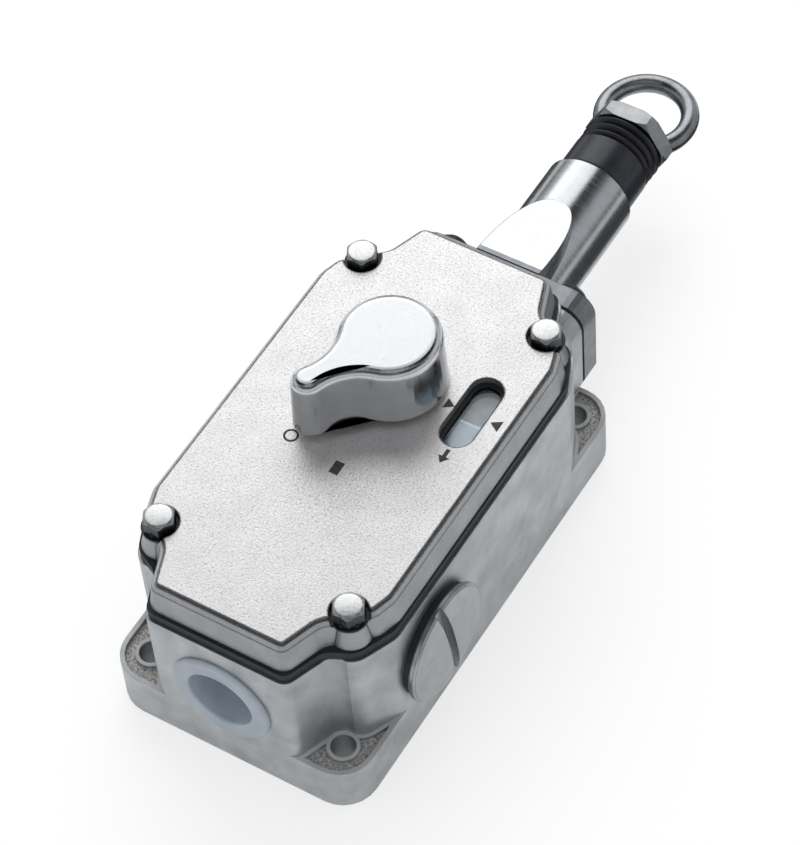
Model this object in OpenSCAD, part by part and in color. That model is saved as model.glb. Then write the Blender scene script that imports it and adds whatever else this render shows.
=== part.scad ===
// Rope pull switch for machine guarding: a cast housing with a gasketed lid, a spring-loaded
// rope shaft in a tube, a contact block worked by a cone on that shaft, and a reset knob.
// +X is the way the rope pulls, +Z is up through the lid, and the origin is the middle of the
// four mounting holes on the underside.

/* [Base] */
// Length of the mounting base
base_l = 113; // [109:0.5:122]
// Width of the mounting base
base_w = 62; // [61:0.5:70]
// Thickness of the mounting feet
foot_h = 12.3; // [8:0.1:13]
// Corner radius of the base
base_r = 8; // [5:0.5:9]
// Distance from a mounting hole to the end of the base
hole_in_x = 7.5; // [7:0.1:8.5]
// Distance from a mounting hole to the side of the base
hole_in_y = 7; // [6.5:0.1:7.5]
// Diameter of the mounting holes
hole_d = 5.5; // [4.5:0.1:6.5]
// Width of the raised rim around a mounting hole
hole_rim = 0.9; // [0.5:0.1:1.2]
// Depth of the sunk pocket in each foot
pocket_d = 0.9; // [0.4:0.1:2]

/* [Housing] */
// Height of the housing rim that the gasket lies on
housing_h = 40; // [39:0.5:46]
// Thickness of the housing walls
wall = 3.4; // [2.6:0.1:4]
// Thickness of the housing floor
floor_t = 3.5; // [2.5:0.1:4]
// Depth of the conduit and rope shaft axis below the housing rim
axis_drop = 16.8; // [16.4:0.1:17.4]
// Width of the narrow front and rope end noses
nose_w = 34.4; // [32:0.2:36]
// Distance from a lid screw to the end of the base
screw_in_x = 16.5; // [15.5:0.1:18]
// Distance from a lid screw to the side of the base
screw_in_y = 8.1; // [7.5:0.1:9]
// Radius of the corner bosses that take the lid screws, inside the housing
boss_r = 6.2; // [5.6:0.1:6.8]
// Distance from a lid screw to the outside of its boss
boss_out = 5.2; // [4.8:0.1:6.4]
// Radius of the conduit entry holes
entry_r = 9.4; // [8:0.1:10]
// Depth of the threaded entry bosses from the outside
entry_depth = 8.5; // [6:0.5:9]
// Distance of the side entries from the front end of the base
side_entry_in = 34; // [32:0.5:34.5]

/* [Lid] */
// Thickness of the lid gasket
gasket_t = 2.4; // [1:0.1:3]
// Height of the lid from gasket to top face
lid_h = 7.6; // [7:0.1:10]
// Thickness of the lid plate
lid_t = 3; // [2.4:0.1:3.4]
// Ledge left in front of the lid on the housing rim
lid_ledge = 1.2; // [0.8:0.1:1.6]
// Draft taken up by the lid skirt
skirt_draft = 0.9; // [0.4:0.1:1.2]
// Size of the chamfer round the lid
lid_chamfer = 0.9; // [0.5:0.1:1.2]
// Height of the raised top panel
panel_h = 0.7; // [0.4:0.1:1]
// Across flats size of the lid screw heads
lid_hex_af = 7; // [6:0.1:7.4]
// Radius of the lid screw shanks
lid_screw_r = 1.95; // [1.5:0.05:2]

/* [Window] */
// Length of the window slot
window_l = 19.6; // [16:0.2:21]
// Width of the window slot
window_w = 7.6; // [6:0.1:8.4]
// Distance of the window centre from the rope end of the base
window_in_x = 41.5; // [40:0.5:43.5]
// Window centre to the right of the middle
window_y = 19.3; // [18.5:0.1:19.8]

/* [Knob] */
// Distance of the knob centre from the rope end of the base
knob_in_x = 42.6; // [41.5:0.1:44]
// Knob centre to the left of the middle
knob_y = -0.8; // [-1.5:0.1:1]
// Radius of the knob head at its foot
knob_r = 11.8; // [10.5:0.1:12.5]
// Distance from the knob centre to the end of its pointer
pointer_l = 24; // [21:0.5:26]
// Radius of the pointer's end
pointer_r = 4.2; // [3.6:0.1:5]
// Radius of the hollow flanks between head and pointer
flank_r = 11; // [8:0.5:18]
// Height of the knob
knob_h = 15.2; // [12:0.1:18]
// Taper of the knob sides from foot to top
knob_taper = 0.5; // [0.2:0.1:0.8]
// Rounding of the knob's top edge
knob_round = 2.3; // [1.2:0.1:2.6]
// Angle of the OFF position from the length of the base
off_angle = 27; // [20:1:35]
// Radius of the knob shaft
knob_shaft_r = 5; // [4:0.1:5.4]
// Distance of the drive pin from the knob axis
crank_r = 3; // [2.5:0.1:3.2]

/* [Rope end] */
// Thickness of the plate on the end of the housing
end_plate_t = 5.5; // [4:0.1:6]
// Width of the end plate and the tube flange
flange_w = 44; // [43:0.5:45]
// Distance from the top of the end plate and the tube flange up to the housing rim
flange_drop = 2.4; // [1.2:0.1:3]
// Thickness of the tube flange
flange_t = 5.3; // [4:0.1:7]
// Distance of the flange screws from the rope axis, across
flange_screw_y = 15; // [14:0.1:15.5]
// Distance of the flange screws from the rope axis, up and down
flange_screw_up = 8.6; // [8:0.1:9]
// Thickness of the gasket behind the tube flange
flange_seal_t = 0.8; // [0.5:0.1:1.5]
// Length of the tube from the flange to its front
tube_l = 37.1; // [34:0.5:44]
// Outer radius of the tube
tube_r = 10.7; // [10.2:0.1:11.4]
// Radius of the spring chamber in the tube
chamber_r = 7.8; // [7.7:0.1:8.2]
// Length of the wedge on top of the tube
wedge_l = 23.5; // [16:0.5:26]
// Half of the width of the wedge
wedge_w = 7.9; // [7:0.1:9]
// Fall of the wedge from the flange to its tip
wedge_fall = 4.2; // [2:0.1:5]
// Length of the bush in front of the tube
bush_l = 9.6; // [5:0.1:11]
// Outer radius of the bush and the bellows
bush_r = 9.5; // [8.8:0.1:9.9]
// Length of the bellows at rest
bellows_l = 6.4; // [5:0.1:8]
// Number of folds in the bellows
bellows_n = 3; // [2:1:4]

/* [Rope shaft and eye] */
// Radius of the rope shaft
shaft_r = 4; // [3.5:0.1:4.2]
// Thickness of the hexagonal collar
collar_t = 4.2; // [3:0.1:5]
// Across flats size of the collar
collar_af = 18.5; // [15:0.5:19]
// Radius of the eye ring's rod
ring_rod_r = 2.2; // [1.7:0.1:2.5]
// Radius of the eye ring at the middle of its rod
ring_r = 10.2; // [9.6:0.1:11]
// Distance from the face of the collar to the middle of the eye ring
eye_reach = 6.2; // [5.6:0.1:7]
// Slope of the cone that works the plungers
cone_slope = 0.25; // [0.2:0.01:0.27]
// Travel of the rope shaft when the rope is pulled
pull_travel = 8; // [5:0.5:8]
// Travel of the rope shaft when the rope goes slack
slack_travel = 2; // [1:0.5:2]
// Radius of the main spring's wire
spring_wire_r = 1.1; // [0.8:0.05:1.2]
// Turns in the main spring
spring_turns = 7; // [5:1:8]

/* [Plugs] */
// Radius of the transit cap's flange on the front entry
cap_r = 11.9; // [11.5:0.1:12.8]
// Radius of the cup in the transit cap
cup_r = 7.7; // [6.5:0.1:8.3]
// How far the transit cap stands proud
cap_t = 1.1; // [0.8:0.1:2]
// Radius of the side plug's head
plug_r = 13.6; // [12.5:0.1:14]
// Thickness of the side plug's head at its edge
plug_edge = 1.8; // [1.2:0.1:2.5]
// Rise of the side plug's dome
plug_dome = 1.5; // [0.8:0.1:2.2]
// Thickness of the seal behind the side plug
plug_seal_t = 1.4; // [0.8:0.1:2]

/* [Hidden] */

$fn = 64;
arc_n = 6;                 // steps in each rounded corner of an outline
gap = 0.3;                 // clearance between pieces that move past each other
fit = 0.05;                // running clearance of a shaft in its bore
cut = 1;                   // how far a cutting tool runs past the face it cuts

// driving places worked out from the sizes above
end_x = base_l / 2;
side_y = base_w / 2;
screw_x = end_x - screw_in_x;
screw_y = side_y - screw_in_y;
hole_dx = base_l - 2 * hole_in_x;
hole_dy = base_w - 2 * hole_in_y;
axis_z = housing_h - axis_drop;
flange_top = housing_h - flange_drop;
side_entry_x = end_x - side_entry_in;
window_x = end_x - window_in_x;
knob_x = end_x - knob_in_x;
lid_z0 = housing_h + gasket_t;
top_z = lid_z0 + lid_h;
lid_in_z = top_z - lid_t;                  // underside of the lid plate
flange_x0 = end_x + flange_seal_t;
flange_x1 = flange_x0 + flange_t;
tube_x1 = flange_x1 + tube_l;
bush_x1 = tube_x1 + bush_l;
collar_x0 = bush_x1 + bellows_l;
collar_x1 = collar_x0 + collar_t;
ring_x = collar_x1 + eye_reach;            // centre of the eye ring
end_wall_x = end_x - end_plate_t - 1;      // inner face of the wall at the rope end

// ---------------------------------------------------------------- outlines
function unit(v) = v / norm(v);
function turn(a, b) = a.x * b.y - a.y * b.x;
function flat(list) = [for (part = list) for (p = part) p];

// one rounded corner of an outline: arc points that join the edges p-c and c-n
function corner(p, c, n, r) =
    let (a = unit(p - c), b = unit(n - c), half = acos(a * b) / 2,
         m = c + unit(a + b) * r / sin(half),
         u = c + a * r / tan(half) - m, v = c + b * r / tan(half) - m,
         a0 = atan2(u.y, u.x), sweep = atan2(turn(u, v), u * v))
    [for (i = [0 : arc_n]) m + r * [cos(a0 + sweep * i / arc_n), sin(a0 + sweep * i / arc_n)]];

// an outline of [x, y, radius] corners, anticlockwise, with every corner rounded
function rounded(path) =
    let (n = len(path), xy = [for (c = path) [c.x, c.y]])
    flat([for (i = [0 : n - 1]) corner(xy[(i + n - 1) % n], xy[i], xy[(i + 1) % n], path[i].z)]);

// the same corners moved inwards by d, with their radii following
function inset(path, d) =
    let (n = len(path), xy = [for (c = path) [c.x, c.y]])
    [for (i = [0 : n - 1])
        let (e0 = unit(xy[i] - xy[(i + n - 1) % n]), e1 = unit(xy[(i + 1) % n] - xy[i]),
             n0 = [-e0.y, e0.x], n1 = [-e1.y, e1.x],
             c = xy[i] + (n0 + n1) * d / (1 + n0 * n1),
             r = path[i].z + (turn(e0, e1) > 0 ? -d : d))
        [c.x, c.y, max(r, 0.4)]];

// four quarters from one, going anticlockwise from the +X end
function four_ways(q) =
    let (back = [for (i = [len(q) - 1 : -1 : 0]) q[i]])
    concat([for (c = q) [c.x, c.y, c.z]], [for (c = back) [-c.x, c.y, c.z]],
           [for (c = q) [-c.x, -c.y, c.z]], [for (c = back) [c.x, -c.y, c.z]]);

function rectangle(l, w, r) = four_ways([[l / 2, w / 2, r]]);

// wall of the housing: narrow noses, hollows beside them, round bosses at the lid screws
nose_corner = 3;
hollow_corner = 4;
boss_corner = 5;
side_corner = 6;
hollow_in = 2.1;                           // how far the hollow reaches in past the lid screw
wall_path = four_ways([
    [end_x, nose_w / 2, nose_corner],
    [screw_x + boss_r + 1.1, screw_y - hollow_in, hollow_corner],
    [screw_x + boss_out - 0.8, screw_y + boss_out - 1.1, boss_corner],
    [screw_x - 4.5, side_y, side_corner]]);

// foot of the lid, a little inside the wall
lid_in = 0.8;
lid_path = four_ways([
    [end_x - lid_ledge, nose_w / 2 - 0.6, nose_corner + 0.2],
    [screw_x + 6, screw_y - hollow_in - lid_in, hollow_corner + 0.5],
    [screw_x - 1.8, screw_y + 5.7, boss_corner - 0.5],
    [screw_x - 7, side_y - lid_in, side_corner]]);

// end plate and tube flange, seen along the rope: [across, up]
end_corner = 5.5;
end_chamfer = 6;                           // slanted lower corners of the end plate
end_foot_z = foot_h - 5.1;
end_path = [
    [flange_w / 2, flange_top, end_corner], [-flange_w / 2, flange_top, end_corner],
    [-flange_w / 2, end_foot_z + end_chamfer + 0.8, 3], [-flange_w / 2 + end_chamfer, end_foot_z, 3],
    [flange_w / 2 - end_chamfer, end_foot_z, 3], [flange_w / 2, end_foot_z + end_chamfer + 0.8, 3]];

module prism(path, z0, z1) {
    translate([0, 0, z0]) linear_extrude(z1 - z0) polygon(rounded(path));
}

// skin through rings of [points, height], all with the same number of points
module loft(rings) {
    n = len(rings[0][0]);
    top = n * (len(rings) - 1);
    polyhedron(
        points = [for (ring = rings) for (p = ring[0]) [p.x, p.y, ring[1]]],
        faces = concat(
            [[for (i = [0 : n - 1]) i]],
            [[for (i = [n - 1 : -1 : 0]) top + i]],
            [for (k = [0 : len(rings) - 2]) for (i = [0 : n - 1]) let (j = (i + 1) % n)
                let (a = k * n, b = a + n) each [[a + i, b + i, b + j], [a + i, b + j, a + j]]]),
        convexity = 6);
}

// ---------------------------------------------------------------- placing helpers
// cylinder on the rope axis from x0 to x1
module rod(x0, x1, r) {
    translate([x0, 0, axis_z]) rotate([0, 90, 0]) cylinder(h = x1 - x0, r = r);
}

// profile of [radius, x] points turned about the rope axis
module turned(points) {
    translate([0, 0, axis_z]) rotate([0, 90, 0]) rotate_extrude() polygon(points);
}

// outline in the across-up plane, drawn from x0 to x1
module across(path, x0, x1) {
    translate([x0, 0, 0]) rotate([90, 0, 90]) linear_extrude(x1 - x0) polygon(rounded(path));
}

module at_lid_screws() {
    for (x = [-screw_x, screw_x], y = [-screw_y, screw_y]) translate([x, y, 0]) children();
}

module at_feet() {
    for (x = [-hole_dx / 2, hole_dx / 2], y = [-hole_dy / 2, hole_dy / 2]) translate([x, y, 0]) children();
}

// local +Z points out of the side of the housing: side is -1 on the right, 1 on the left
module at_side_entry(side) {
    translate([-side_entry_x, side * side_y, axis_z]) rotate([-side * 90, 0, 0]) children();
}

module at_knob() {
    translate([knob_x, knob_y, 0]) children();
}

module at_window() {
    translate([window_x, -window_y, 0]) children();
}

// slot outline l by w, long way along X
module stadium(l, w, z0, z1) {
    translate([0, 0, z0]) linear_extrude(z1 - z0) polygon(rounded(rectangle(l, w, w / 2 - 0.01)));
}

module ring(r_out, r_in, z0, z1) {
    translate([0, 0, z0]) difference() {
        cylinder(h = z1 - z0, r = r_out);
        translate([0, 0, -cut]) cylinder(h = z1 - z0 + 2 * cut, r = r_in);
    }
}

// ---------------------------------------------------------------- housing
flange_screw_r = 2.4;
spigot_r = tube_r + 1.1;
spigot_l = 4;
screw_depth = 14;                           // depth of the tapped lid screw holes
entry_wall = 3.4;                           // wall round each threaded entry
pad_h = 2.5;                                // pads on the floor under the chassis
pad_r = 4;
chassis_t = 1.5;
chassis_z = floor_t + pad_h;
block_z = chassis_z + chassis_t;
block_l = 47.5;
block_x1 = screw_x - boss_r - 0.8;          // contact block, just clear of the lid screw bosses
block_x0 = block_x1 - block_l;
chassis_screw_at = [[block_x0 + 3.5, -20], [block_x1 - 3.5, -20]];
chassis_screw_r = 1.75;
block_screw_at = [[block_x1 - 6.4, 14.2], [block_x1 - 3, 19.3]];
block_screw_r = 1.45;
blind = 2;                                  // how far the tapped holes reach into the floor
earth_at = [-screw_x, -10];
earth_h = 3;
earth_r = 1.95;

module at_flange_screws(x) {
    for (y = [-flange_screw_y, flange_screw_y], z = [-flange_screw_up, flange_screw_up])
        translate([x, y, axis_z + z]) rotate([0, 90, 0]) children();
}

module housing_cavity() {
    difference() {
        prism(inset(wall_path, wall), floor_t, housing_h + cut);
        at_lid_screws() cylinder(h = housing_h + 2 * cut, r = boss_r - 0.4);
        translate([end_wall_x, -side_y, 0]) cube([base_l, base_w, housing_h + 2 * cut]);
        rod(-end_x, -end_x + entry_depth, entry_r + entry_wall);
        for (side = [-1, 1]) at_side_entry(side)
            translate([0, 0, -entry_depth]) cylinder(h = entry_depth, r = entry_r + entry_wall);
        for (p = concat(chassis_screw_at, block_screw_at))
            translate([p.x, p.y, 0]) cylinder(h = chassis_z, r = pad_r);
        translate([earth_at.x, earth_at.y, 0]) cylinder(h = floor_t + earth_h, r = earth_r + 2.5);
    }
}

module foot_pockets() {
    difference() {
        prism(inset(rectangle(base_l, base_w, base_r), 1.1), foot_h - pocket_d, foot_h + cut);
        prism(inset(wall_path, -0.8), foot_h - pocket_d - cut, foot_h + 2 * cut);
        across(inset(end_path, -0.8), end_x - end_plate_t - 0.8, end_x + cut);
        at_feet() cylinder(h = foot_h + 2 * cut, r = hole_d / 2 + hole_rim);
    }
}

module housing() {
    color("silver") difference() {
        union() {
            prism(rectangle(base_l, base_w, base_r), 0, foot_h);
            prism(wall_path, 0, housing_h);
            across(end_path, end_x - end_plate_t, end_x);
        }
        housing_cavity();
        foot_pockets();
        at_feet() translate([0, 0, -cut]) cylinder(h = foot_h + 2 * cut, r = hole_d / 2);
        at_feet() translate([0, 0, foot_h]) cylinder(h = 2 * housing_h, r = hole_d / 2 + hole_rim);
        at_lid_screws() translate([0, 0, housing_h - screw_depth])
            cylinder(h = screw_depth + cut, r = lid_screw_r + fit);
        rod(-end_x - cut, -end_x + entry_depth + cut, entry_r);
        for (side = [-1, 1]) at_side_entry(side)
            translate([0, 0, -entry_depth - cut]) cylinder(h = entry_depth + 2 * cut, r = entry_r);
        rod(end_wall_x - cut, end_x + cut, spigot_r + fit);
        at_flange_screws(end_x - end_plate_t) cylinder(h = end_plate_t + cut, r = flange_screw_r + fit);
        for (p = chassis_screw_at) translate([p.x, p.y, floor_t - blind])
            cylinder(h = pad_h + blind + cut, r = chassis_screw_r + fit);
        for (p = block_screw_at) translate([p.x, p.y, floor_t - blind])
            cylinder(h = pad_h + blind + cut, r = block_screw_r + fit);
        translate([earth_at.x, earth_at.y, floor_t - blind])
            cylinder(h = earth_h + blind + cut, r = earth_r + fit);
    }
}

// ---------------------------------------------------------------- lid, gasket and lid screws
boss_top_z = top_z - 2;                     // seat of the lid screw heads
lid_hex_r = lid_hex_af / 2 / cos(30);       // corners of the lid screw heads
lid_boss_r = lid_hex_af / 2 - 0.3;          // top of the columns that stand proud of the skirt
lid_screw_space = 0.2;                      // room round a lid screw's head and its shank
knob_collar_h = 1.2;                        // raised ring that the knob turns on
knob_boss_r = knob_shaft_r + 3;
knob_boss_z = lid_in_z - 3;                 // foot of the knob shaft's boss
lens_frame = 1.6;                           // how far the lens reaches under the lid plate
window_depth = 1.8;                         // depth of the slot above the lens seal
window_rim_z = lid_in_z - 1.6;              // foot of the rim round the lens
washer_t = 0.6;

panel_z = top_z - panel_h;                   // foot of the raised top panel

// drafted and chamfered outside of the lid
module lid_skirt() {
    slope = skirt_draft / (panel_z - lid_chamfer - lid_z0);
    intersection() {
        translate([-end_x, -side_y, lid_z0]) cube([base_l, base_w, panel_z - lid_z0]);
        loft([[rounded(inset(lid_path, -slope * cut)), lid_z0 - cut],
            [rounded(inset(lid_path, skirt_draft)), panel_z - lid_chamfer],
            [rounded(inset(lid_path, skirt_draft + 2 * lid_chamfer)), panel_z + lid_chamfer]]);
    }
}

module lid() {
    color("gainsboro") difference() {
        union() {
            lid_skirt();
            at_lid_screws() translate([0, 0, lid_z0])
                cylinder(h = boss_top_z - lid_z0, r1 = boss_out - 0.5, r2 = lid_boss_r);
            prism(inset(lid_path, skirt_draft + lid_chamfer + 0.4), panel_z - 0.5, top_z);
            at_knob() translate([0, 0, knob_boss_z])
                cylinder(h = top_z + knob_collar_h - knob_boss_z, r = knob_boss_r);
        }
        difference() {
            prism(inset(lid_path, wall), lid_z0 - cut, lid_in_z);
            at_lid_screws() cylinder(h = top_z, r = boss_r - 1);
            at_knob() translate([0, 0, knob_boss_z]) cylinder(h = top_z, r = knob_boss_r);
            at_window() stadium(window_l + 4 * lens_frame, window_w + 4 * lens_frame, window_rim_z, top_z);
        }
        at_lid_screws() translate([0, 0, lid_z0 - cut])
            cylinder(h = lid_h + 2 * cut, r = lid_screw_r + lid_screw_space);
        at_lid_screws() translate([0, 0, boss_top_z]) cylinder(h = lid_h, r = lid_hex_r + lid_screw_space);
        at_knob() translate([0, 0, lid_z0 - cut]) cylinder(h = 2 * lid_h, r = knob_shaft_r + fit);
        at_window() stadium(window_l, window_w, top_z - window_depth - cut, top_z + cut);
        at_window() stadium(window_l + 2 * lens_frame, window_w + 2 * lens_frame,
            window_rim_z - cut, top_z - window_depth);
    }
}

module lid_gasket() {
    color("#202225") difference() {
        prism(inset(wall_path, 0.5), housing_h, lid_z0);
        difference() {
            prism(inset(wall_path, wall + 0.6), housing_h - cut, lid_z0 + cut);
            at_lid_screws() cylinder(h = lid_z0 + 2 * cut, r = boss_r - 0.9);
        }
        at_lid_screws() cylinder(h = lid_z0 + cut, r = lid_screw_r + lid_screw_space);
    }
}

// hexagon screw with a domed top: the seat of its head is at z = 0
module hex_screw(r, length, af, head_h) {
    hex_r = af / 2 / cos(30);
    dome = 0.35 * head_h;
    translate([0, 0, -length]) cylinder(h = length + 0.1, r = r);
    intersection() {
        cylinder(h = head_h, r = hex_r, $fn = 6);
        rotate_extrude() polygon([[0, 0], [hex_r - 0.3, 0], [hex_r, 0.3], [hex_r, head_h - dome - 0.6],
            [af / 2, head_h - dome], [af / 2 * 0.82, head_h - 0.3 * dome], [af / 4, head_h], [0, head_h]]);
    }
}

module lid_screws() {
    color("white") at_lid_screws() translate([0, 0, boss_top_z + washer_t])
        hex_screw(lid_screw_r, boss_top_z + washer_t - housing_h + screw_depth - blind, lid_hex_af, 3.7);
}

module lid_screw_washers() {
    color("white") at_lid_screws() ring(lid_hex_r, lid_screw_r + fit, boss_top_z, boss_top_z + washer_t);
}

// ---------------------------------------------------------------- window
lens_t = 1.5;
window_seal_t = 0.8;
lens_z1 = top_z - window_depth - window_seal_t;
window_bead = 1.6;                          // how far the seal and the retainer show in the slot

// slot outline that fits the seat under the lid plate
module lens_blank(z0, z1) {
    stadium(window_l + 2 * (lens_frame - fit), window_w + 2 * (lens_frame - fit), z0, z1);
}

module window_lens() {
    color("lightsteelblue") at_window() lens_blank(lens_z1 - lens_t, lens_z1);
}

module window_seal() {
    color("#202225") at_window() difference() {
        lens_blank(lens_z1, top_z - window_depth);
        stadium(window_l - window_bead, window_w - window_bead, lens_z1 - cut, top_z);
    }
}

module window_retainer() {
    color("silver") at_window() difference() {
        lens_blank(window_rim_z, lens_z1 - lens_t);
        stadium(window_l - window_bead, window_w - window_bead, window_rim_z - cut, lens_z1);
    }
}

// ---------------------------------------------------------------- knob and what turns with it
knob_z0 = top_z + knob_collar_h + gap;
pointer_x = pointer_l - pointer_r;          // centre of the pointer's round end
flank_x = (pow(knob_r + flank_r, 2) - pow(pointer_r + flank_r, 2) + pow(pointer_x, 2)) / (2 * pointer_x);
flank_y = sqrt(pow(knob_r + flank_r, 2) - pow(flank_x, 2));

function arc(c, r, a0, a1, n) =
    [for (i = [0 : n]) let (a = a0 + (a1 - a0) * i / n) c + r * [cos(a), sin(a)]];
function without_ends(list) = [for (i = [1 : len(list) - 2]) list[i]];

// round head, hollow flanks and round pointer end, all moved inwards by d, pointing along +X
function teardrop(d) =
    let (head_a = atan2(flank_y, flank_x), tip_a = atan2(flank_y, flank_x - pointer_x),
         f0 = atan2(flank_y, -flank_x), f1 = atan2(flank_y, pointer_x - flank_x))
    concat(
        arc([0, 0], knob_r - d, head_a, 360 - head_a, 40),
        without_ends(arc([flank_x, -flank_y], flank_r + d, f0, f1, 12)),
        arc([pointer_x, 0], pointer_r - d, -tip_a, tip_a, 16),
        without_ends(arc([flank_x, flank_y], flank_r + d, -f1, -f0, 12)));

module reset_knob() {
    shoulder = knob_z0 + knob_h - knob_round;
    color("whitesmoke") difference() {
        at_knob() rotate([0, 0, 180 - off_angle])
            loft(concat([[teardrop(0.4), knob_z0], [teardrop(0), knob_z0 + 0.4]],
                [for (a = [0 : 15 : 90])
                    [teardrop(knob_taper + knob_round * (1 - cos(a))), shoulder + knob_round * sin(a)]]));
        at_knob() translate([0, 0, knob_z0 - cut]) cylinder(h = knob_h - knob_face_t + cut, r = knob_shaft_r);
        at_knob() translate([0, 0, knob_z0 + grub_up]) rotate([0, 90, 0])
            cylinder(h = 2 * knob_r, r = grub_r);
    }
}

knob_face_t = 4;                            // solid knob above the end of its shaft
clip_t = 0.9;
clip_z = knob_boss_z - 0.1 - clip_t;        // circlip just under the lid's boss
cam_t = 2.7;
cam_floor = 0.9;
cam_z = clip_z - cam_t;
cam_r = knob_shaft_r + 1.5;
stub_r = 3.5;                               // thin foot of the knob shaft
o_ring_r = 0.65;
o_ring_z = top_z - 1.5;
grub_r = 1.9;
grub_up = 5;
grub_seat = 1.6;                            // how deep the grub screw sits in the knob's side

module knob_shaft() {
    color("silver") at_knob() difference() {
        union() {
            translate([0, 0, clip_z + clip_t])
                cylinder(h = knob_z0 + knob_h - knob_face_t - clip_z - clip_t, r = knob_shaft_r);
            translate([0, 0, cam_z + cam_floor])
                cylinder(h = clip_z + clip_t - cam_z - cam_floor, r = stub_r);
        }
        ring(knob_shaft_r + cut, knob_shaft_r - 2 * o_ring_r, o_ring_z - o_ring_r, o_ring_z + o_ring_r);
    }
}

module knob_seal() {
    color("#202225") at_knob() translate([0, 0, o_ring_z]) rotate_extrude()
        translate([knob_shaft_r - o_ring_r, 0]) circle(r = o_ring_r - 0.01, $fn = 24);
}

module knob_circlip() {
    color("dimgray") at_knob() difference() {
        ring(knob_shaft_r + 1.8, stub_r, clip_z, clip_z + clip_t);
        translate([-2 * knob_shaft_r, -1, clip_z - cut]) cube([2 * knob_shaft_r, 2, clip_t + 2 * cut]);
    }
}

module knob_grub_screw() {
    length = knob_r - knob_shaft_r - grub_seat;
    color("dimgray") at_knob() translate([knob_shaft_r, 0, knob_z0 + grub_up]) rotate([0, 90, 0])
        difference() {
            cylinder(h = length, r = grub_r - fit);
            translate([0, 0, length - 1.4]) cylinder(h = 1.4 + cut, r = 1.1, $fn = 6);
        }
}

pin_r = 1.2;
pin_angle = 15;                             // drive pin from +X with the knob at OFF
slide_t = 1.5;
slide_z = cam_z - gap - slide_t;

module reset_cam() {
    color("dimgray") at_knob() {
        difference() {
            translate([0, 0, cam_z]) cylinder(h = cam_t, r = cam_r);
            translate([0, 0, cam_z + cam_floor]) cylinder(h = cam_t, r = stub_r);
        }
        rotate([0, 0, pin_angle]) translate([crank_r, 0, slide_z])
            cylinder(h = cam_z + cam_floor / 2 - slide_z, r = pin_r);
    }
}

// ---------------------------------------------------------------- latch slide
slide_w = 12;
slide_y0 = -9;
slide_y1 = 20.5;
latch_back = 3;                             // travel of the slide while the knob goes to RESET
latch_out = 1.5;                            // travel of the slide while the knob goes to RUN
latch_y = 16.5;
latch_w = 4;
latch_t = 2;
latch_drop = 4;                             // how far the latch nose hangs into the contact block

module latch_slide() {
    pin_y = crank_r * sin(pin_angle);
    color("goldenrod") {
        difference() {
            translate([knob_x - slide_w / 2, slide_y0, slide_z])
                cube([slide_w, slide_y1 - slide_y0, slide_t]);
            translate([knob_x + crank_r - 0.4, knob_y + pin_y, slide_z - cut])
                stadium(2 * pin_r + 2.2, 2 * (pin_r + gap), 0, slide_t + 2 * cut);
        }
        translate([knob_x - latch_w / 2, latch_y, slide_z - latch_drop])
            cube([latch_w, latch_t, latch_drop + slide_t]);
    }
}

// ---------------------------------------------------------------- tube, its seal and screws
bush_seat = 7.7;                            // length of bush inside the tube
bush_seat_r = chamber_r + 0.4;
tube_front_x = tube_x1 - bush_seat;         // where the spring chamber meets the bush

wedge_blunt = 0.85;                         // 1 makes the outline an ellipse, and less a blunter tip

module wedge() {
    top0 = flange_top + 0.2;
    intersection() {
        translate([flange_x1, 0, axis_z]) linear_extrude(flange_top)
            polygon([for (a = [-90 : 6 : 90])
                [wedge_l * pow(cos(a), wedge_blunt), wedge_w * sign(a) * pow(abs(sin(a)), wedge_blunt)]]);
        rotate([90, 0, 0]) translate([0, 0, -wedge_w - cut]) linear_extrude(2 * (wedge_w + cut))
            polygon([[flange_x1, axis_z], [flange_x1 + wedge_l + cut, axis_z],
                [flange_x1 + wedge_l + cut, top0 - wedge_fall], [flange_x1, top0]]);
    }
}

module tube_housing() {
    color("silver") difference() {
        union() {
            across(end_path, flange_x0, flange_x1);
            turned([[0, end_x - spigot_l], [spigot_r, end_x - spigot_l], [spigot_r, flange_x0 + cut],
                [tube_r, flange_x0 + cut], [tube_r, tube_x1 - 0.8], [tube_r - 0.8, tube_x1], [0, tube_x1]]);
            wedge();
        }
        rod(end_x - spigot_l - cut, tube_front_x + cut, chamber_r);
        rod(tube_front_x, tube_x1 + cut, bush_seat_r);
        at_flange_screws(flange_x0 - cut) cylinder(h = flange_t + 2 * cut, r = flange_screw_r + gap);
    }
}

module tube_gasket() {
    color("#202225") difference() {
        across(inset(end_path, 0.3), end_x, flange_x0);
        rod(end_x - cut, flange_x0 + cut, spigot_r);
        at_flange_screws(end_x - cut) cylinder(h = flange_seal_t + 2 * cut, r = flange_screw_r + gap);
    }
}

module tube_screws() {
    head_r = 4.3;
    head_h = 3.6;
    shank = flange_t + flange_seal_t + end_plate_t - 0.5;
    color("#303236") at_flange_screws(flange_x1) difference() {
        union() {
            translate([0, 0, -shank]) cylinder(h = shank + 0.1, r = flange_screw_r);
            rotate_extrude() polygon([[0, 0], [head_r, 0], [head_r, 0.8], [0.91 * head_r, 2],
                [0.7 * head_r, 3], [0.4 * head_r, head_h], [0, head_h]]);
        }
        translate([0, 0, head_h / 2]) cylinder(h = head_h, r = 1.7, $fn = 6);
    }
}

wiper_r = shaft_r + 2.6;
wiper_t = 2;

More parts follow.
